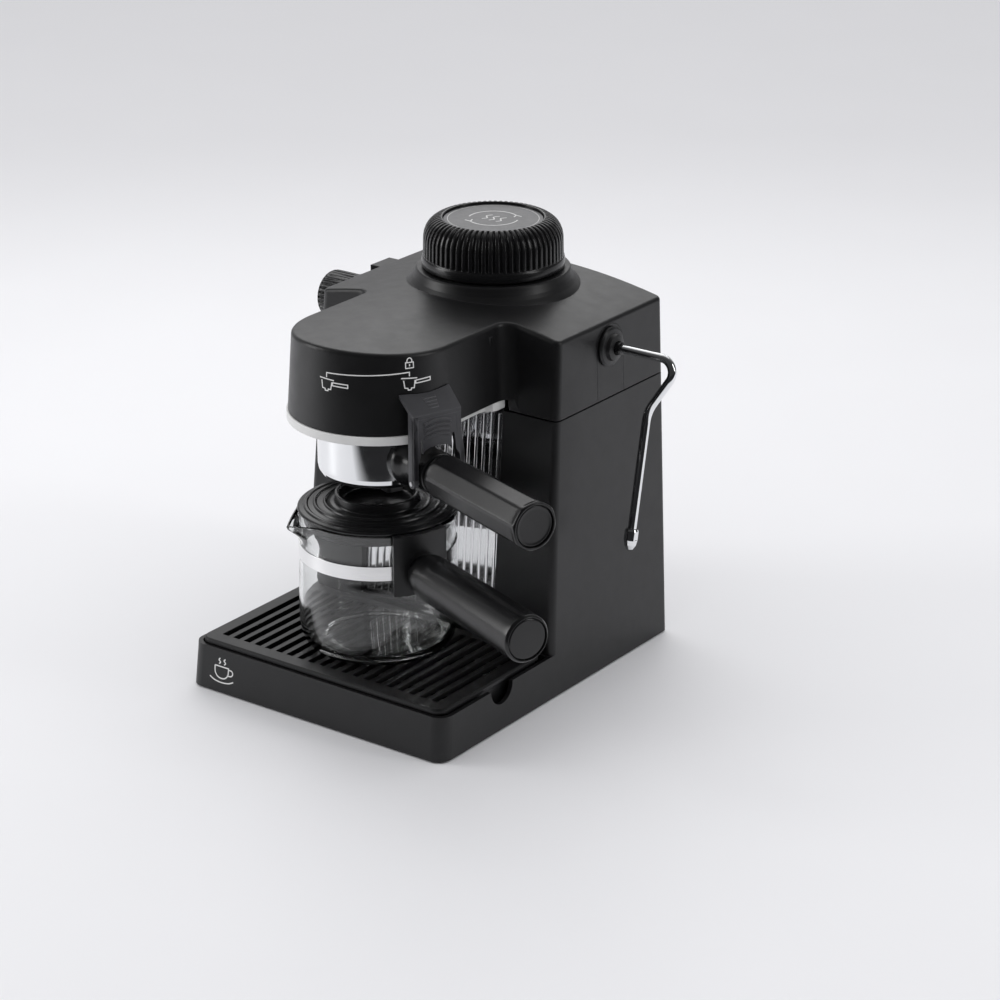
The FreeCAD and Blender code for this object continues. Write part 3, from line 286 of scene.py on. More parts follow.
def glass():
    """Clear glass with a thin uneven film and slight ripples."""
    g = Surface("clear_glass")
    film = g.noise(60.0, 4.0)
    g.link(g.ramp(film, "Fac", [(0.3, (0.965, 0.975, 0.972)), (0.7, (0.985, 0.99, 0.988))]),
           "Color", g.shader, "Base Color")
    g.link(g.spread(film, "Fac", 0.0, 0.012), "Result", g.shader, "Roughness")
    g.link(g.bump(g.noise(38.0, 1.0), 0.10), "Normal", g.shader, "Normal")
    g.shader.inputs["Transmission Weight"].default_value = 1.0
    g.shader.inputs["IOR"].default_value = 1.47
    return g.material


FINISHES["clear_glass"] = glass()
INK = finish("white_ink", (0.80, 0.80, 0.79), (0.42, 0.52), vary=0.05, grain=(3000, 0.004))
PALE_INK = finish("pale_ink", (0.62, 0.62, 0.61), (0.40, 0.50), vary=0.05, grain=(3000, 0.004))

slot_of = {part["node"]: part["material_slot"] for part in frame["record"]["subparts"]
           if "node" in part}
for node_name, node in NODES.items():
    node.data.materials.clear()
    node.data.materials.append(FINISHES[slot_of[node_name]])


# ------------------------------------------------------------------ mesh helpers
def add_piece(name, mesh, body, slot=None, stands_for=(), material=None, sharp=35.0):
    """Puts a mesh in the scene on its body, in place of the nodes it stands for."""
    mesh.shade_smooth()
    mesh.set_sharp_from_angle(angle=math.radians(sharp))
    piece = bpy.data.objects.new(name, mesh)
    bpy.context.scene.collection.objects.link(piece)
    mesh.materials.append(material or FINISHES[slot])
    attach(piece, body)
    if stands_for:
        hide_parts(*stands_for)
    return piece


def to_mesh(name, points, faces, move=Matrix.Identity(4)):
    """Millimetre points and faces as a clean, closed mesh in metres."""
    work = bmesh.new()
    made = [work.verts.new(move @ Vector(p) * MM) for p in points]
    for face in faces:
        corners = []
        for index in face:
            if made[index] not in corners:
                corners.append(made[index])
        if len(corners) > 2:
            work.faces.new(corners)
    bmesh.ops.remove_doubles(work, verts=work.verts, dist=1e-7)
    bmesh.ops.dissolve_degenerate(work, edges=work.edges, dist=1e-8)
    bmesh.ops.recalc_face_normals(work, faces=work.faces)
    mesh = bpy.data.meshes.new(name)
    work.to_mesh(mesh)
    work.free()
    return mesh


def rounded(profile, steps=4):
    """A closed profile of (radius, height[, fillet]) with its corners rounded by curves."""
    result = []
    count = len(profile)
    for index, corner in enumerate(profile):
        here = Vector(corner[:2])
        fillet = corner[2] if len(corner) > 2 else 0.0
        if fillet <= 0:
            result.append(tuple(here))
            continue
        before = Vector(profile[index - 1][:2]) - here
        after = Vector(profile[(index + 1) % count][:2]) - here
        reach = min(fillet, before.length * 0.48, after.length * 0.48)
        start = here + before.normalized() * reach
        end = here + after.normalized() * reach
        for step in range(steps + 1):
            t = step / steps
            result.append(tuple((1 - t) ** 2 * start + 2 * t * (1 - t) * here + t * t * end))
    return result


def upright(radius, turn, height):
    """A point of a round piece that stands along Z."""
    return (radius * math.cos(turn), radius * math.sin(turn), height)


def lying(radius, turn, height):
    """A point of a round piece that lies along X."""
    return (height, radius * math.cos(turn), radius * math.sin(turn))


def lathe(name, profile, turns, spot=upright, shape=None, move=Matrix.Identity(4)):
    """Turn a closed profile; turns is a count or a list of angles, and shape may move points."""
    angles = turns if isinstance(turns, list) else [2 * math.pi * k / turns for k in range(turns)]
    points = []
    for turn in angles:
        for radius, height in profile:
            r, h = (radius, height) if shape is None else shape(radius, height, turn)
            points.append(spot(r, turn, h))
    rows, columns = len(angles), len(profile)
    faces = []
    for row in range(rows):
        for column in range(columns):
            after = (column + 1) % columns
            following = (row + 1) % rows
            faces.append((row * columns + column, row * columns + after,
                          following * columns + after, following * columns + column))
    return to_mesh(name, points, faces, move)


def bevelled(piece, width, segments=3, angle=30.0):
    """Rounds the edges that are sharper than the angle, by a width in mm."""
    bevel = piece.modifiers.new("edges", "BEVEL")
    bevel.width = width * MM
    bevel.segments = segments
    bevel.limit_method = "ANGLE"
    bevel.angle_limit = math.radians(angle)
    return piece


def shift(x=0.0, y=0.0, z=0.0, turn=0.0):
    """A move in mm after a turn in degrees about Z."""
    return Matrix.Translation((x, y, z)) @ Matrix.Rotation(math.radians(turn), 4, "Z")


def ease(t):
    """A smooth step from 0 to 1."""
    t = max(0.0, min(1.0, t))
    return t * t * (3 - 2 * t)


# ------------------------------------------------------------------ boiler cap
def fluted(radius, height, turn):
    """Narrow grooves between round ribs, up the side and over the shoulder."""
    if radius < 30.2 or height < FLUTE_FOOT or height > 257.7:
        return radius, height
    phase = (turn * FLUTES / (2 * math.pi)) % 1.0
    across = abs(phase - 0.5) * 2
    cut = FLUTE_DEPTH * (1 - ease((across - 0.10) / 0.5))
    depth = cut * ease((height - FLUTE_FOOT) / 0.9) * ease((radius - 30.1) / 1.3)
    slope = math.atan2(max(0.0, height - 246.0), max(1.0, radius - 28.0)) * 1.15
    return radius - depth * math.cos(slope), height - depth * math.sin(slope)


cap_outline = rounded([
    (33.3, 229.2), (41.7, 229.2, 0.5), (42.0, 231.6, 1.5), (41.5, 234.3, 0.5), (40.9, 235.1, 0.4),
    (41.0, 236.2, 0.5), (40.9, 241.0), (40.8, 246.0), (40.3, 248.9), (39.4, 251.3),
    (38.1, 253.4), (36.5, 255.0), (34.6, 256.3), (32.9, 257.1), (31.6, 257.5), (30.4, 257.6, 0.3),
    (29.5, 257.5, 0.3), (29.5, 255.2), (3.4, 255.2), (3.4, 244.6), (33.3, 244.6)])
add_piece("cap_grip", lathe("cap_grip", cap_outline, FLUTES * 12, shape=fluted,
                            move=shift(y=BOILER_Y)),
          "cap", "grip_black", ["cap_shell"], sharp=50)


# ------------------------------------------------------------------ printed marks
def divided(stroke, spot, most):
    """The stroke with points no further apart than most, so that it hugs a round surface."""
    path = [stroke[0]]
    for a, b in zip(stroke, stroke[1:]):
        parts = max(1, math.ceil((spot(*a)[0] - spot(*b)[0]).length / most))
        path += [(a[0] + (b[0] - a[0]) * k / parts, a[1] + (b[1] - a[1]) * k / parts)
                 for k in range(1, parts + 1)]
    return path


def ribbon(name, strokes, spot, width, body, material, thick=0.05):
    """Printed lines. Each stroke is a list of (u, v); spot(u, v) gives a point and a normal."""
    points, faces = [], []
    for stroke in strokes:
        closed = stroke[0] == stroke[-1]
        path = divided(stroke, spot, 0.7)
        path = path[:-1] if closed else path
        count = len(path)
        spots = [spot(*p) for p in path]
        first = len(points)
        for index, (point, normal) in enumerate(spots):
            ahead = spots[(index + 1) % count][0] if closed or index < count - 1 else point
            behind = spots[index - 1][0] if closed or index > 0 else point
            into, out = point - behind, ahead - point
            if into.length < 1e-6:
                into = out
            if out.length < 1e-6:
                out = into
            along = (into.normalized() + out.normalized()).normalized()
            side = normal.cross(along).normalized()
            mitre = 1.0 / max(0.55, side.dot(normal.cross(out.normalized()).normalized()))
            for sign in (-1, 1):
                for lift in (0.015, 0.015 + thick):
                    points.append(point + side * sign * mitre * width / 2 + normal * lift)
        for index in range(count if closed else count - 1):
            a = first + 4 * index
            b = first + 4 * ((index + 1) % count)
            for low, high in ((0, 1), (1, 3), (3, 2), (2, 0)):
                faces.append((a + low, a + high, b + high, b + low))
        if not closed:
            for end in (first, first + 4 * (count - 1)):
                faces.append((end, end + 1, end + 3, end + 2))
    return add_piece(name, to_mesh(name, points, faces), body, None, (), material, 30)


def on_nose(turn, z):
    """A point on the nose's leaning round front; turn in degrees about the brew axis."""
    radius = NOSE_RADIUS - NOSE_LEAN * (z - NOSE_FOOT_Z)
    angle = math.radians(turn)
    out = Vector((math.cos(angle), math.sin(angle), NOSE_LEAN)).normalized()
    return Vector((radius * math.cos(angle), BREW_Y + radius * math.sin(angle), z)), out


def on_base(x, z):
    """A point on the base's leaning front."""
    return Vector((x, BASE_FRONT + FRONT_DRAFT * z, z)), Vector((0, -1, FRONT_DRAFT)).normalized()


def on_disc(x, y):
    """A point on the cap's disc, from its centre."""
    return Vector((x, BOILER_Y + y, DISC_TOP)), Vector((0, 0, 1))


def smooth_stroke(points, steps=8):
    """A Catmull-Rom line through the points."""
    ends = [points[0]] + points + [points[-1]]
    result = []
    for index in range(1, len(ends) - 2):
        a, b, c, d = (Vector(ends[index + k]) for k in (-1, 0, 1, 2))
        for step in range(steps):
            t = step / steps
            result.append(tuple(0.5 * (2 * b + (c - a) * t + (2 * a - 5 * b + 4 * c - d) * t * t
                                       + (3 * b - a - 3 * c + d) * t ** 3)))
    return result + [tuple(points[-1])]


def arc_stroke(cx, cy, radius, start, end, steps):
    """An arc about (cx, cy) from start to end, in degrees."""
    return [(cx + radius * math.cos(math.radians(start + (end - start) * k / steps)),
             cy + radius * math.sin(math.radians(start + (end - start) * k / steps)))
            for k in range(steps + 1)]


def ring_stroke(radius, steps):
    """A full circle that ends exactly on its first point."""
    circle = arc_stroke(0, 0, radius, 0, 360, steps)
    return circle[:-1] + circle[:1]


# How far about the brew axis one mm along the nose's front turns
DEGREES_PER_MM = 180 / math.pi / 48.8


def holder_sign(turn, z, rise):
    """A small sign of a filter holder seen from the side; rise tilts its handle."""
    shapes = [[(-4.7, 0.45), (4.7, -0.25)],
              [(-3.3, -0.9), (-2.7, -5.2), (-1.0, -5.5), (-0.8, -6.5), (0.9, -6.5), (1.1, -5.5),
               (2.7, -5.6), (3.3, -1.4)],
              [(3.9, -1.5), (12.9, -1.5 + rise), (12.9, -3.3 + rise), (3.6, -3.2), (3.9, -1.5)]]
    return [[(turn + u * DEGREES_PER_MM, z + v) for u, v in shape] for shape in shapes]


# The line from one sign to the other, along the way the handle turns
travel = [(-86.8, 204.6), (-86.8, 207.2)]
travel += [(-86.8 + 55.6 * k / 40, 207.2 + 1.5 * k / 40) for k in range(1, 41)]
travel += [(-31.2, 206.4)]
nose_signs = [travel] + holder_sign(-86.6, 203.6, -0.2) + holder_sign(-31.4, 205.2, 0.4)
ribbon("nose_print", nose_signs, on_nose, 0.62, "root", INK)

lock_body = [(-33.6, 211.0), (-28.2, 211.0), (-28.2, 214.2), (-33.6, 214.2), (-33.6, 211.0)]
shackle = [(-32.6, 214.2), (-32.6, 215.4), (-32.0, 216.4), (-30.9, 216.8), (-29.8, 216.4),
           (-29.2, 215.4), (-29.2, 214.2)]
keyhole = [(-30.9, 213.3), (-30.9, 212.0)]
ribbon("lock_print", [lock_body, shackle, keyhole], on_nose, 0.55, "root", INK)

# A steaming cup on its saucer
cup_shapes = [
    smooth_stroke([(-7.4, 3.6), (-7.0, -0.6), (-4.4, -3.2), (-0.2, -3.2), (2.4, -0.6),
                   (2.8, 3.6)]) + [(-7.4, 3.6)],
    smooth_stroke([(2.6, 2.8), (5.2, 2.6), (6.0, 0.8), (4.6, -0.7), (2.3, -0.8)]),
    smooth_stroke([(-11.0, -3.8), (-7.4, -5.4), (-2.2, -6.0), (3.0, -5.4), (6.6, -3.8)]),
    smooth_stroke([(-4.4, 5.0), (-3.4, 6.2), (-4.6, 7.4), (-3.6, 8.6)]),
    smooth_stroke([(-0.6, 5.0), (0.4, 6.2), (-0.8, 7.4), (0.2, 8.6)])]
cup_sign = [[(CUP_X + x, CUP_Z + z) for x, z in stroke] for stroke in cup_shapes]
ribbon("cup_print", cup_sign, on_base, 0.75, "root", INK)


def turn_arrow(radius, start, end):
    """An arc with an open arrowhead at its end."""
    tip = math.radians(end)
    back = math.radians(end - 13)
    x, y = radius * math.cos(tip), radius * math.sin(tip)
    head = [((radius + 2.2) * math.cos(back), (radius + 2.2) * math.sin(back)), (x, y),
            ((radius - 2.2) * math.cos(back), (radius - 2.2) * math.sin(back))]
    return [arc_stroke(0, 0, radius, start, end, 36), head]


waves = [smooth_stroke([(x, -4.5), (x + 1.6, -1.5), (x - 1.0, 1.8), (x + 0.8, 5.2)])
         for x in (-5.0, 0.0, 5.0)]
disc_signs = turn_arrow(14.5, 200, 60) + turn_arrow(14.5, 20, -120)
ribbon("cap_print", disc_signs + waves, on_disc, 0.8, "cap", PALE_INK, 0.03)
ribbon("cap_ring_print", [ring_stroke(26.6, 120)], on_disc, 0.3, "cap", PALE_INK, 0.03)


# ------------------------------------------------------------------ brew head plate
def plate_outline(edge):
    """Half of the plate's outline: a round rim in front, then a waist, then a tab at the back."""
    rim = [(edge * math.cos(math.radians(a)), BREW_Y + edge * math.sin(math.radians(a)))
           for a in range(-90, 3, 3)]
    waist = [(edge - 1.6, -43.5), (edge - 5.6, -40.5), (edge - 6.4, -36.0), (edge - 6.4, -15.0),
             (edge - 5.6, -11.0)]
    return rim + waist + [(edge - 1.6, -8.6), (edge - 0.6, -6.0), (edge - 0.6, 1.8)]


def brew_plate():
    """The light plate under the nose, open in the middle for the filter holder."""
    right = plate_outline(PLATE_EDGE)
    outer = right + [(-x, y) for x, y in reversed(right)]
    hole = [(PLATE_HOLE * math.cos(2 * math.pi * k / 96),
             BREW_Y + PLATE_HOLE * math.sin(2 * math.pi * k / 96)) for k in range(96)]
    work = bmesh.new()
    for ring in (outer, hole):
        corners = [work.verts.new((x * MM, y * MM, PLATE_Z * MM)) for x, y in ring]
        for index, corner in enumerate(corners):
            if corner.co != corners[index - 1].co:
                work.edges.new((corners[index - 1], corner))
    bmesh.ops.remove_doubles(work, verts=work.verts, dist=1e-7)
    bmesh.ops.triangle_fill(work, use_beauty=True, use_dissolve=True, edges=work.edges[:])
    grown = bmesh.ops.extrude_face_region(work, geom=work.faces[:])
    for item in grown["geom"]:
        if isinstance(item, bmesh.types.BMVert):
            item.co.z += PLATE_THICK * MM
    bmesh.ops.recalc_face_normals(work, faces=work.faces)
    mesh = bpy.data.meshes.new("brew_plate")
    work.to_mesh(mesh)
    work.free()
    return mesh


bevelled(add_piece("brew_plate", brew_plate(), "root", "plate_grey", ["brew_head_plate"],
                   sharp=30), 0.5, 2, 40)


# ------------------------------------------------------------------ filter holder
# The brew axis, turned so that X runs along the handle
HOLDER_AXIS = shift(y=BREW_Y, turn=FILTER_TURN)
HANDLE_AXIS = HOLDER_AXIS @ shift(z=HANDLE_Z)


def facet(flat, round_radius, turn, sides, offset):
    """Radius of a round bar with flats, at an angle about its length."""
    part = math.pi * 2 / sides
    away = (turn - offset + part / 2) % part - part / 2
    return min(round_radius, flat / math.cos(away))


def handle_shape(radius, height, turn):
    """Broad flats on the grip, fading out at the shoulder, and a moulding line underneath."""
    if radius < 11.95:
        return radius, height
    flat = 12.35 + 0.0075 * (height - 66)
    amount = ease((height - 64.5) / 5) * (1 - 0.55 * ease((height - 151.0) / 3.5))
    cut = facet(flat, radius, turn, GRIP_SIDES, math.radians(12))
    r = radius + (cut - radius) * amount
    line = math.exp(-((turn - math.radians(MOULD_LINE)) / 0.022) ** 2)
    return r - 0.42 * line * amount, height


# Even steps round the grip, and closer ones about its moulding line
line_steps = (-2.6, -1.9, -1.25, -0.6, 0.6, 1.25, 1.9)
handle_angles = sorted([2 * math.pi * k / 144 for k in range(144)]
                       + [math.radians(MOULD_LINE + d) for d in line_steps])
grip_profile = rounded([
    (0, 64.2), (10.4, 64.2, 0.6), (12.2, 65.6, 1.2), (13.1, 69.5, 2.0), (13.3, 90.0),
    (13.55, 120.0), (13.75, 148.0, 2.0), (13.9, 152.0, 0.8), (13.9, 154.2, 0.5),
    (13.2, 155.0, 0.45), (12.0, 155.0, 0.3), (11.95, 153.0, 0.2), (0, 153.0)], 4)
add_piece("filter_grip", lathe("filter_grip", grip_profile, handle_angles, lying, handle_shape,
                               HANDLE_AXIS),
          "filter_holder", "grip_black", ["filter_handle"], sharp=50)

end_profile = rounded([(0, 153.15), (11.4, 153.15), (11.6, 153.9, 0.3), (11.0, 154.35, 0.4),
                       (9.6, 154.1, 0.8), (0, 154.0)])
add_piece("filter_end", lathe("filter_end", end_profile, 96, lying, None, HANDLE_AXIS),
          "filter_holder", "grip_black", ["handle_end_disc"])


def saddle(radius, height, turn):
    """The neck's root follows the bowl's round side."""
    if height > 36.0:
        return radius, height
    across = radius * math.cos(turn)
    return radius, math.sqrt(BOWL_RADIUS ** 2 - across ** 2)


neck_profile = [(r, 30.0) for r in (0, 4, 8, 11, 13.5)] + rounded([
    (15.0, 30.0), (15.2, 36.6, 0.4), (14.9, 38.6, 1.0), (13.8, 41.0, 1.0), (12.8, 43.4, 1.2),
    (12.2, 47.0, 1.2), (12.2, 63.4, 0.5), (11.6, 63.9, 0.3), (0, 63.9)], 5)
add_piece("filter_neck", lathe("filter_neck", neck_profile, 96, lying, saddle, HANDLE_AXIS),
          "filter_holder", "grip_black", ["handle_neck"], sharp=45)


# ------------------------------------------------------------------ basket retainer clip
def prism(outline, x0, x1):
    """An outline of (y, z) pulled from x0 to x1."""
    count = len(outline)
    points = [Vector((x, y, z)) for x in (x0, x1) for y, z in outline]
    faces = [tuple(range(count)), tuple(range(2 * count - 1, count - 1, -1))]
    for index in range(count):
        after = (index + 1) % count
        faces.append((index, after, count + after, count + index))
    return points, faces


def merged(shapes):
    """Several shapes of points and faces as one."""
    points, faces = [], []
    for more_points, more_faces in shapes:
        start = len(points)
        points += more_points
        faces += [tuple(start + index for index in face) for face in more_faces]
    return points, faces


def sideways(outline, y0, y1):
    """An outline of (x, z) pulled from y0 to y1."""
    points, faces = prism(outline, y0, y1)
    return [Vector((p.y, p.x, p.z)) for p in points], faces


def flared(shape):
    """The far leg spreads towards its foot."""
    points, faces = shape
    for point in points:
        if point.y > 10.0:
            point.y += CLIP_FLARE * ease((176.0 - point.z) / 20.0) * ease((point.y - 10.0) / 2.0)
    return points, faces


def clip_front():
    """The plate between the legs, with its two slots and the arch over the handle."""
    arch = [(9.4 * math.cos(math.radians(a)), 164.9 + 3.5 * math.sin(math.radians(a)))
            for a in range(0, 181, 15)]
    slot = [(11.0, 172.4), (10.7, 173.7), (10.2, 174.1), (9.7, 173.7), (9.4, 172.4)]
    leg = [(CLIP_HALF, z) for z in (183.0, 176.0, 170.0, 163.0, 155.0, 150.0)]
    leg += [(12.7, 150.0), (12.7, 155.0), (12.6, 158.5), (11.9, 161.0), (11.1, 164.0)]
    outline = leg + slot + arch + [(-y, z) for y, z in reversed(slot)]
    outline += [(-y, z) for y, z in reversed(leg)]
    return prism(outline[1:-1] + [(-CLIP_HALF, CLIP_TOP - 0.4), (CLIP_HALF, CLIP_TOP - 0.4)],
                 CLIP_FACE - 2.5, CLIP_FACE)


def clip_leg(side):
    """A leg seen from the side: straight down to a round foot about the pin."""
    foot = [(CLIP_PIN_X + CLIP_FOOT * math.cos(math.radians(a)),
             CLIP_PIN_Z + CLIP_FOOT * math.sin(math.radians(a))) for a in range(180, 361, 20)]
    outline = [(55.2, 189.4), (55.2, 176.0), (55.2, 162.0)] + foot
    outline += [(CLIP_FACE, 162.0), (CLIP_FACE, 176.0), (CLIP_FACE, CLIP_TOP - 0.6)]
    return sideways(outline, *sorted((side * CLIP_HALF, side * (CLIP_HALF - CLIP_LEG))))


CLIP_RISE = (CLIP_ROOF - CLIP_TOP) / (CLIP_FACE - CLIP_BACK)


def clip_roof():
    """The thumb rest slopes up to the nose and follows its round front."""
    columns = 24
    points, faces = [], []
    for index in range(columns + 1):
        y = CLIP_HALF * (2 * index / columns - 1)
        back = math.sqrt((CLIP_BACK + CLIP_GAP) ** 2 - y * y)
        top = CLIP_TOP + CLIP_RISE * (CLIP_FACE - back) - 0.05 * max(0.0, abs(y) - 9.0) ** 1.5
        widen = 1 + 0.05 * (CLIP_FACE - back) / 12.0
        points += [Vector((CLIP_FACE, y, CLIP_TOP)),
                   Vector((back, y * widen, top)),
                   Vector((back, y * widen, top - 2.0)),
                   Vector((CLIP_FACE - 1.2, y, CLIP_TOP - 2.6)),
                   Vector((CLIP_FACE, y, CLIP_TOP - 2.6))]
    for index in range(columns):
        for corner in range(5):
            after = (corner + 1) % 5
            a, b = 5 * index + corner, 5 * index + after
            faces.append((a, b, b + 5, a + 5))
    faces += [tuple(range(5)), tuple(range(5 * columns, 5 * columns + 5))]
    return points, faces


def clip_ribs():
    """Curved ribs on the face and short ones on the roof, for the thumb."""
    shapes = []
    for rib in range(4):
        reach = 8.8 - 0.3 * rib
        curve = [(reach * k / 8, 184.0 - 2.75 * rib - 0.022 * (reach * k / 8) ** 2)
                 for k in range(-8, 9)]
        outline = curve + [(y, z - 1.25) for y, z in reversed(curve)]
        shapes.append(prism(outline, CLIP_FACE - 0.4, CLIP_FACE + 0.85))
    for rib in range(4):
        x = 52.2 + 1.75 * rib
        top = CLIP_TOP + (CLIP_FACE - x) * CLIP_RISE
        outline = [(x, top - 0.4), (x + 0.9, top - 0.9), (x + 0.9, top - 0.3), (x, top + 0.42)]
        shapes.append(sideways(outline, -4.2 + rib * 0.5, 4.2 - rib * 0.5))
    return shapes


clip_shapes = [flared(clip_front()), clip_roof(), clip_leg(-1), flared(clip_leg(1))] + clip_ribs()
clip_points, clip_faces = merged(clip_shapes)
clip_mesh = to_mesh("retainer_clip", clip_points, clip_faces, HOLDER_AXIS)
bevelled(add_piece("retainer_clip", clip_mesh, "retainer", "clip_grey", ["basket_retainer"],
                   sharp=40), 0.35)


# ------------------------------------------------------------------ carafe
def spouted(radius, height, turn):
    """Draws the rim out to the pouring lip and lets its tip droop."""
    if radius < 35 or height < SPOUT_FOOT_Z:
        return radius, height
    away = abs((turn - math.radians(SPOUT_TURN) + math.pi) % (2 * math.pi) - math.pi)
    near = max(0.0, 1 - away / math.radians(SPOUT_HALF))
    pull = near ** 1.7
    up = ease((height - SPOUT_FOOT_Z) / (RIM_Z - SPOUT_FOOT_Z)) ** 1.4
    return radius + 9.0 * pull * up, height - 3.4 * pull * up * up


glass_profile = rounded([
    (0, GLASS_FOOT + 1.0), (28, GLASS_FOOT + 1.0, 2), (35.5, GLASS_FOOT, 2.5),
    (40.2, GLASS_FOOT + 1.2, 3), (43.7, GLASS_FOOT + 5.2, 5), (45.45, GLASS_FOOT + 13, 7),
    (45.8, 60.0, 8), (45.3, 78.0, 3), (44.6, 84.0, 3), (44.6, 97.0, 3), (45.4, 103.0, 3),
    (45.9, 109.8, 1), (46.0, 112.2, 0.5), (45.2, 112.8, 0.5), (44.2, 112.5, 0.5),
    (43.8, 109.8, 1), (43.4, 103.0, 3), (42.6, 97.0, 3), (42.6, 84.0, 3), (43.3, 78.0, 3),
    (43.8, 60.0, 8), (43.3, GLASS_FOOT + 14, 7), (41.6, GLASS_FOOT + 7.4, 4),
    (37.6, GLASS_FOOT + 4.4, 3), (30.0, GLASS_FOOT + 3.6, 3), (0, GLASS_FOOT + 3.6)], 5)
add_piece("carafe_cup", lathe("carafe_cup", glass_profile, 288, shape=spouted,
                              move=shift(y=CARAFE_Y)),
          "carafe", "clear_glass", ["carafe_glass"], sharp=60)

lid_profile = rounded([
    (3.2, 112.0), (3.2, 113.6, 0.3), (9.0, 114.4, 1.5), (17.6, 115.3, 1.5), (20.4, 115.6, 0.6),
    (21.5, 116.6, 0.6), (21.6, 121.9, 0.4), (22.6, 122.8, 0.4), (24.0, 122.4, 0.5),
    (24.5, 117.4, 0.6), (26.4, 116.9, 0.5),
    (28.8, 116.9, 0.3), (29.4, 117.7, 0.3), (30.3, 117.6, 0.3), (30.8, 116.7, 0.3),
    (34.6, 116.4, 0.3), (35.2, 117.3, 0.3), (36.1, 117.1, 0.3), (36.6, 116.1, 0.3),
    (39.6, 115.7, 0.3), (40.1, 116.3, 0.3), (41.6, 116.1, 0.3), (42.2, 115.3, 0.3),
    (44.6, 114.9, 0.4), (45.6, 114.2, 0.4), (45.5, 113.2, 0.2), (42.2, 113.2, 0.2),
    (42.1, 105.6, 0.4), (40.5, 105.6, 0.4), (40.5, 113.0, 0.3), (9.0, 112.6, 1.0)], 3)
add_piece("lid_rings", lathe("lid_rings", lid_profile, 192, move=shift(y=CARAFE_Y)),
          "lid", "grip_black", ["carafe_lid"], sharp=60)


def bar_root(radius, height, turn):
    """The grip starts on the bracket's round face."""
    if height > 50.2:
        return radius, height
    across = radius * math.cos(turn)
    return radius, math.sqrt(BRACKET_RADIUS ** 2 - across ** 2)


carafe_profile = [(r, 44.0) for r in (0, 3, 6, 8)] + rounded([
    (9.6, 44.0), (10.6, 51.0, 0.8), (12.3, 54.4, 1.2), (12.95, 58.0, 1.5), (13.3, 66.0, 3),
    (13.6, 110.0, 3), (13.7, 152.0), (13.7, 156.6, 0.6), (12.7, 157.9, 0.5), (12.1, 157.9, 0.3),
    (12.0, 156.5, 0.2), (0, 156.5)], 4)
CARAFE_AXIS = shift(y=CARAFE_Y, z=BAND_Z, turn=CARAFE_TURN)
add_piece("carafe_grip", lathe("carafe_grip", carafe_profile, 128, lying, bar_root, CARAFE_AXIS),
          "carafe", "grip_black", ["carafe_handle"], sharp=50)
carafe_end = rounded([(0, 156.65), (11.5, 156.65), (11.7, 157.1, 0.2), (11.0, 157.6, 0.4),
                      (0, 157.35)])
add_piece("carafe_end", lathe("carafe_end", carafe_end, 96, lying, None, CARAFE_AXIS),
          "carafe", "grip_black", ["carafe_end_disc"])


# ------------------------------------------------------------------ steam knob
def knurled(radius, height, turn):
    """Grooves along the knob's side, from its collar outwards."""
    if radius < 14.0 or height > KNURL_START:
        return radius, height
    phase = (turn * KNURLS / (2 * math.pi)) % 1.0
    cut = KNURL_DEPTH * (1 - ease((abs(phase - 0.5) * 2) / 0.62))
    return radius - cut * ease((KNURL_START - height) / 1.2), height


knob_profile = rounded([
    (4.6, -88.3), (KNOB_COLLAR, -88.3, 0.4), (KNOB_COLLAR, -91.9, 0.6), (14.8, -93.4, 0.4),
    (14.7, -96.0), (14.7, -110.0), (14.6, -112.6, 1.0), (13.4, -114.2, 0.8), (11.7, -114.2, 0.3),
    (11.6, -112.7, 0.2), (0, -112.7), (0, -107.2), (3.3, -107.2), (3.3, -96.0), (4.6, -96.0)])
add_piece("knob_grip", lathe("knob_grip", knob_profile, 300, lying, knurled,
                             shift(y=KNOB_Y, z=KNOB_Z)),
          "steam_control", "grip_black", ["steam_knob"], sharp=50)


def on_collar(u, v):
    """A place on the knob's collar: u degrees round it and v along it."""
    angle = math.radians(u)
    out = Vector((0, math.cos(angle), math.sin(angle)))
    return Vector((v, KNOB_Y, KNOB_Z)) + out * KNOB_COLLAR, out


knob_ring = [(62 + 4.4 * math.cos(math.radians(a)), -90.1 + 1.15 * math.sin(math.radians(a)))
             for a in range(0, 360, 30)]
ribbon("knob_print", [knob_ring + knob_ring[:1]], on_collar, 0.45, "steam_control", INK)


# ------------------------------------------------------------------ studio
floor_mesh = bpy.data.meshes.new("studio_floor")
floor_corners = [(-40, -40, 0), (40, -40, 0), (40, 40, 0), (-40, 40, 0)]
floor_mesh.from_pydata(floor_corners, [], [(0, 1, 2, 3)])
floor = bpy.data.objects.new("studio_floor", floor_mesh)
bpy.context.scene.collection.objects.link(floor)
paper = finish("studio_paper", (0.83, 0.83, 0.845), (0.5, 0.6), vary=0.008, patch=2.0,
               grain=(300, 0.02), smudge=12.0)
floor_mesh.materials.append(paper)
bpy.context.scene.view_settings.view_transform = "Standard"


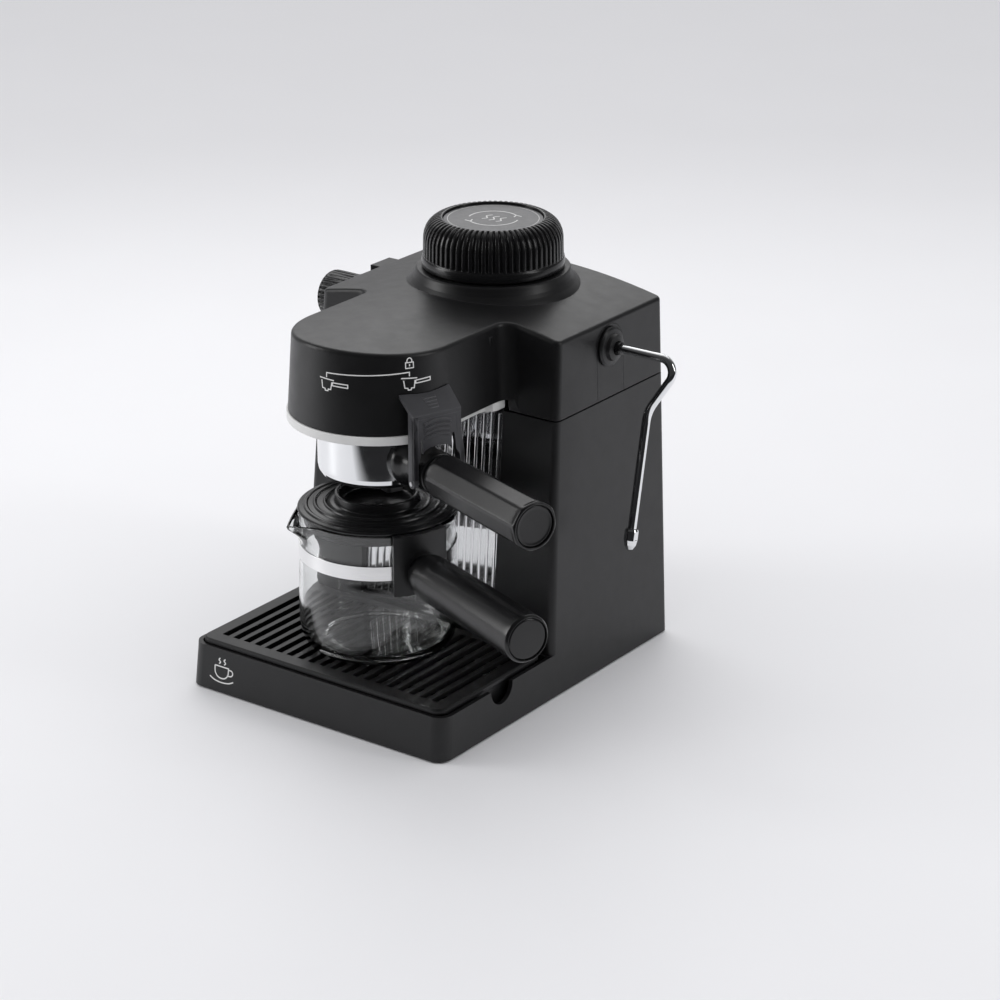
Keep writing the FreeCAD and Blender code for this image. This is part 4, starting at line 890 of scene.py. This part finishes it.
def paint_floor_reflection_dark(material, toward, near, far):
    """In reflections the paper is painted dark from near to far (m) along toward: a painted dark
    reflection, standing in for a black flag laid before the table."""
    g = Graph(material.node_tree)
    kinds = {node.type: node for node in g.tree.nodes}
    place = g.add("TexCoord")
    reach = g.add("VectorMath", operation="DOT_PRODUCT")
    reach.inputs[1].default_value = toward
    fade = g.add("MapRange")
    fade.inputs["From Min"].default_value = near
    fade.inputs["From Max"].default_value = far
    ray = g.add("LightPath")
    share = g.add("Math", operation="MULTIPLY")
    # Painted reflection: the dark paper that reflected rays see in place of the lit paper
    painted_dark_reflection = g.add("BsdfDiffuse")
    painted_dark_reflection.inputs["Color"].default_value = (0.02, 0.02, 0.021, 1)
    mix = g.add("MixShader")
    g.link(place, "Object", reach, 0)
    g.link(reach, "Value", fade, "Value")
    g.link(ray, "Is Glossy Ray", share, 0)
    g.link(fade, "Result", share, 1)
    g.link(share, "Value", mix, 0)
    g.link(kinds["BSDF_PRINCIPLED"], 0, mix, 1)
    g.link(painted_dark_reflection, 0, mix, 2)
    g.link(mix, 0, kinds["OUTPUT_MATERIAL"], "Surface")


# Painted dark reflection: beyond the table's front, towards the camera side, reflected rays see
# the floor dark
paint_floor_reflection_dark(paper, (0.602, -0.798, 0), 0.33, 0.42)

world = bpy.data.worlds.new("studio")
bpy.context.scene.world = world
world.use_nodes = True
world.cycles.sampling_method = "NONE"
sky = Graph(world.node_tree)
backdrop = sky.tree.nodes["Background"]
backdrop.inputs["Color"].default_value = (0.955, 0.96, 0.985, 1)
backdrop.inputs["Strength"].default_value = 0.90


def room_light(direction, stops):
    """A room whose brightness follows the angle to one direction."""
    heading = sky.add("TexCoord")
    toward = sky.add("VectorMath", operation="DOT_PRODUCT")
    toward.inputs[1].default_value = Vector(direction).normalized()
    scale = sky.add("MapRange")
    scale.inputs["From Min"].default_value = -1.0
    sky.link(heading, "Generated", toward, 0)
    sky.link(toward, "Value", scale, "Value")
    greys = sky.ramp(scale, "Result", [(stop, (grey, grey, grey * 1.02)) for stop, grey in stops])
    room = sky.add("Background")
    room.inputs["Strength"].default_value = 1.0
    sky.link(greys, "Color", room, "Color")
    return room


def either(question, no, yes):
    """The second shader where the light path's answer is yes, else the first."""
    mix = sky.add("MixShader")
    sky.link(path, question, mix, 0)
    sky.link(no, 0, mix, 1)
    sky.link(yes, 0, mix, 2)
    return mix


# Reflections see a darker room than diffuse surfaces do, and the camera sees a plain backdrop
path = sky.add("LightPath")
glossy_room = room_light((-0.6, 0.7, 0.40), [(0.0, 0.03), (0.5, 0.05), (0.76, 0.12), (0.93, 0.50)])
fill_room = room_light((-0.25, 0.45, 0.85), [(0.0, 0.02), (0.30, 0.10), (0.62, 0.72), (1.0, 0.98)])
lit_room = either("Is Glossy Ray", fill_room, glossy_room)
seen_room = either("Is Camera Ray", lit_room, backdrop)
sky.link(seen_room, 0, sky.tree.nodes["World Output"], "Surface")


def softbox(name, place, aim, size, watts):
    """A rectangular lamp, hidden from the camera."""
    light = bpy.data.lights.new(name, "AREA")
    light.shape = "RECTANGLE"
    light.size, light.size_y = size
    light.energy = watts
    lamp = bpy.data.objects.new(name, light)
    lamp.location = place
    lamp.rotation_euler = (Vector(aim) - Vector(place)).to_track_quat("-Z", "Y").to_euler()
    lamp.visible_camera = False
    bpy.context.scene.collection.objects.link(lamp)


softbox("overhead", (-0.25, 0.55, 1.35), (0, 0, 0.1), (1.2, 0.9), 1.5)
softbox("back_bank", (-0.50, 0.62, 0.66), (0, 0, 0.2), (1.0, 0.36), 1.6)
softbox("left_bank", (-1.15, -0.75, 0.6), (0, 0, 0.15), (0.45, 0.9), 6)
softbox("right_bank", (1.25, 0.35, 0.8), (0.05, 0, 0.15), (0.3, 0.9), 3)

camera = bpy.data.cameras.new("camera")
camera.lens = 111.45
camera.sensor_width = 36.0
viewer = bpy.data.objects.new("camera", camera)
viewer.location = (1.0158, -1.3337, 0.7688)
viewer.rotation_euler = (math.radians(68.25), 0, math.radians(35.94))
bpy.context.scene.collection.objects.link(viewer)
bpy.context.scene.camera = viewer
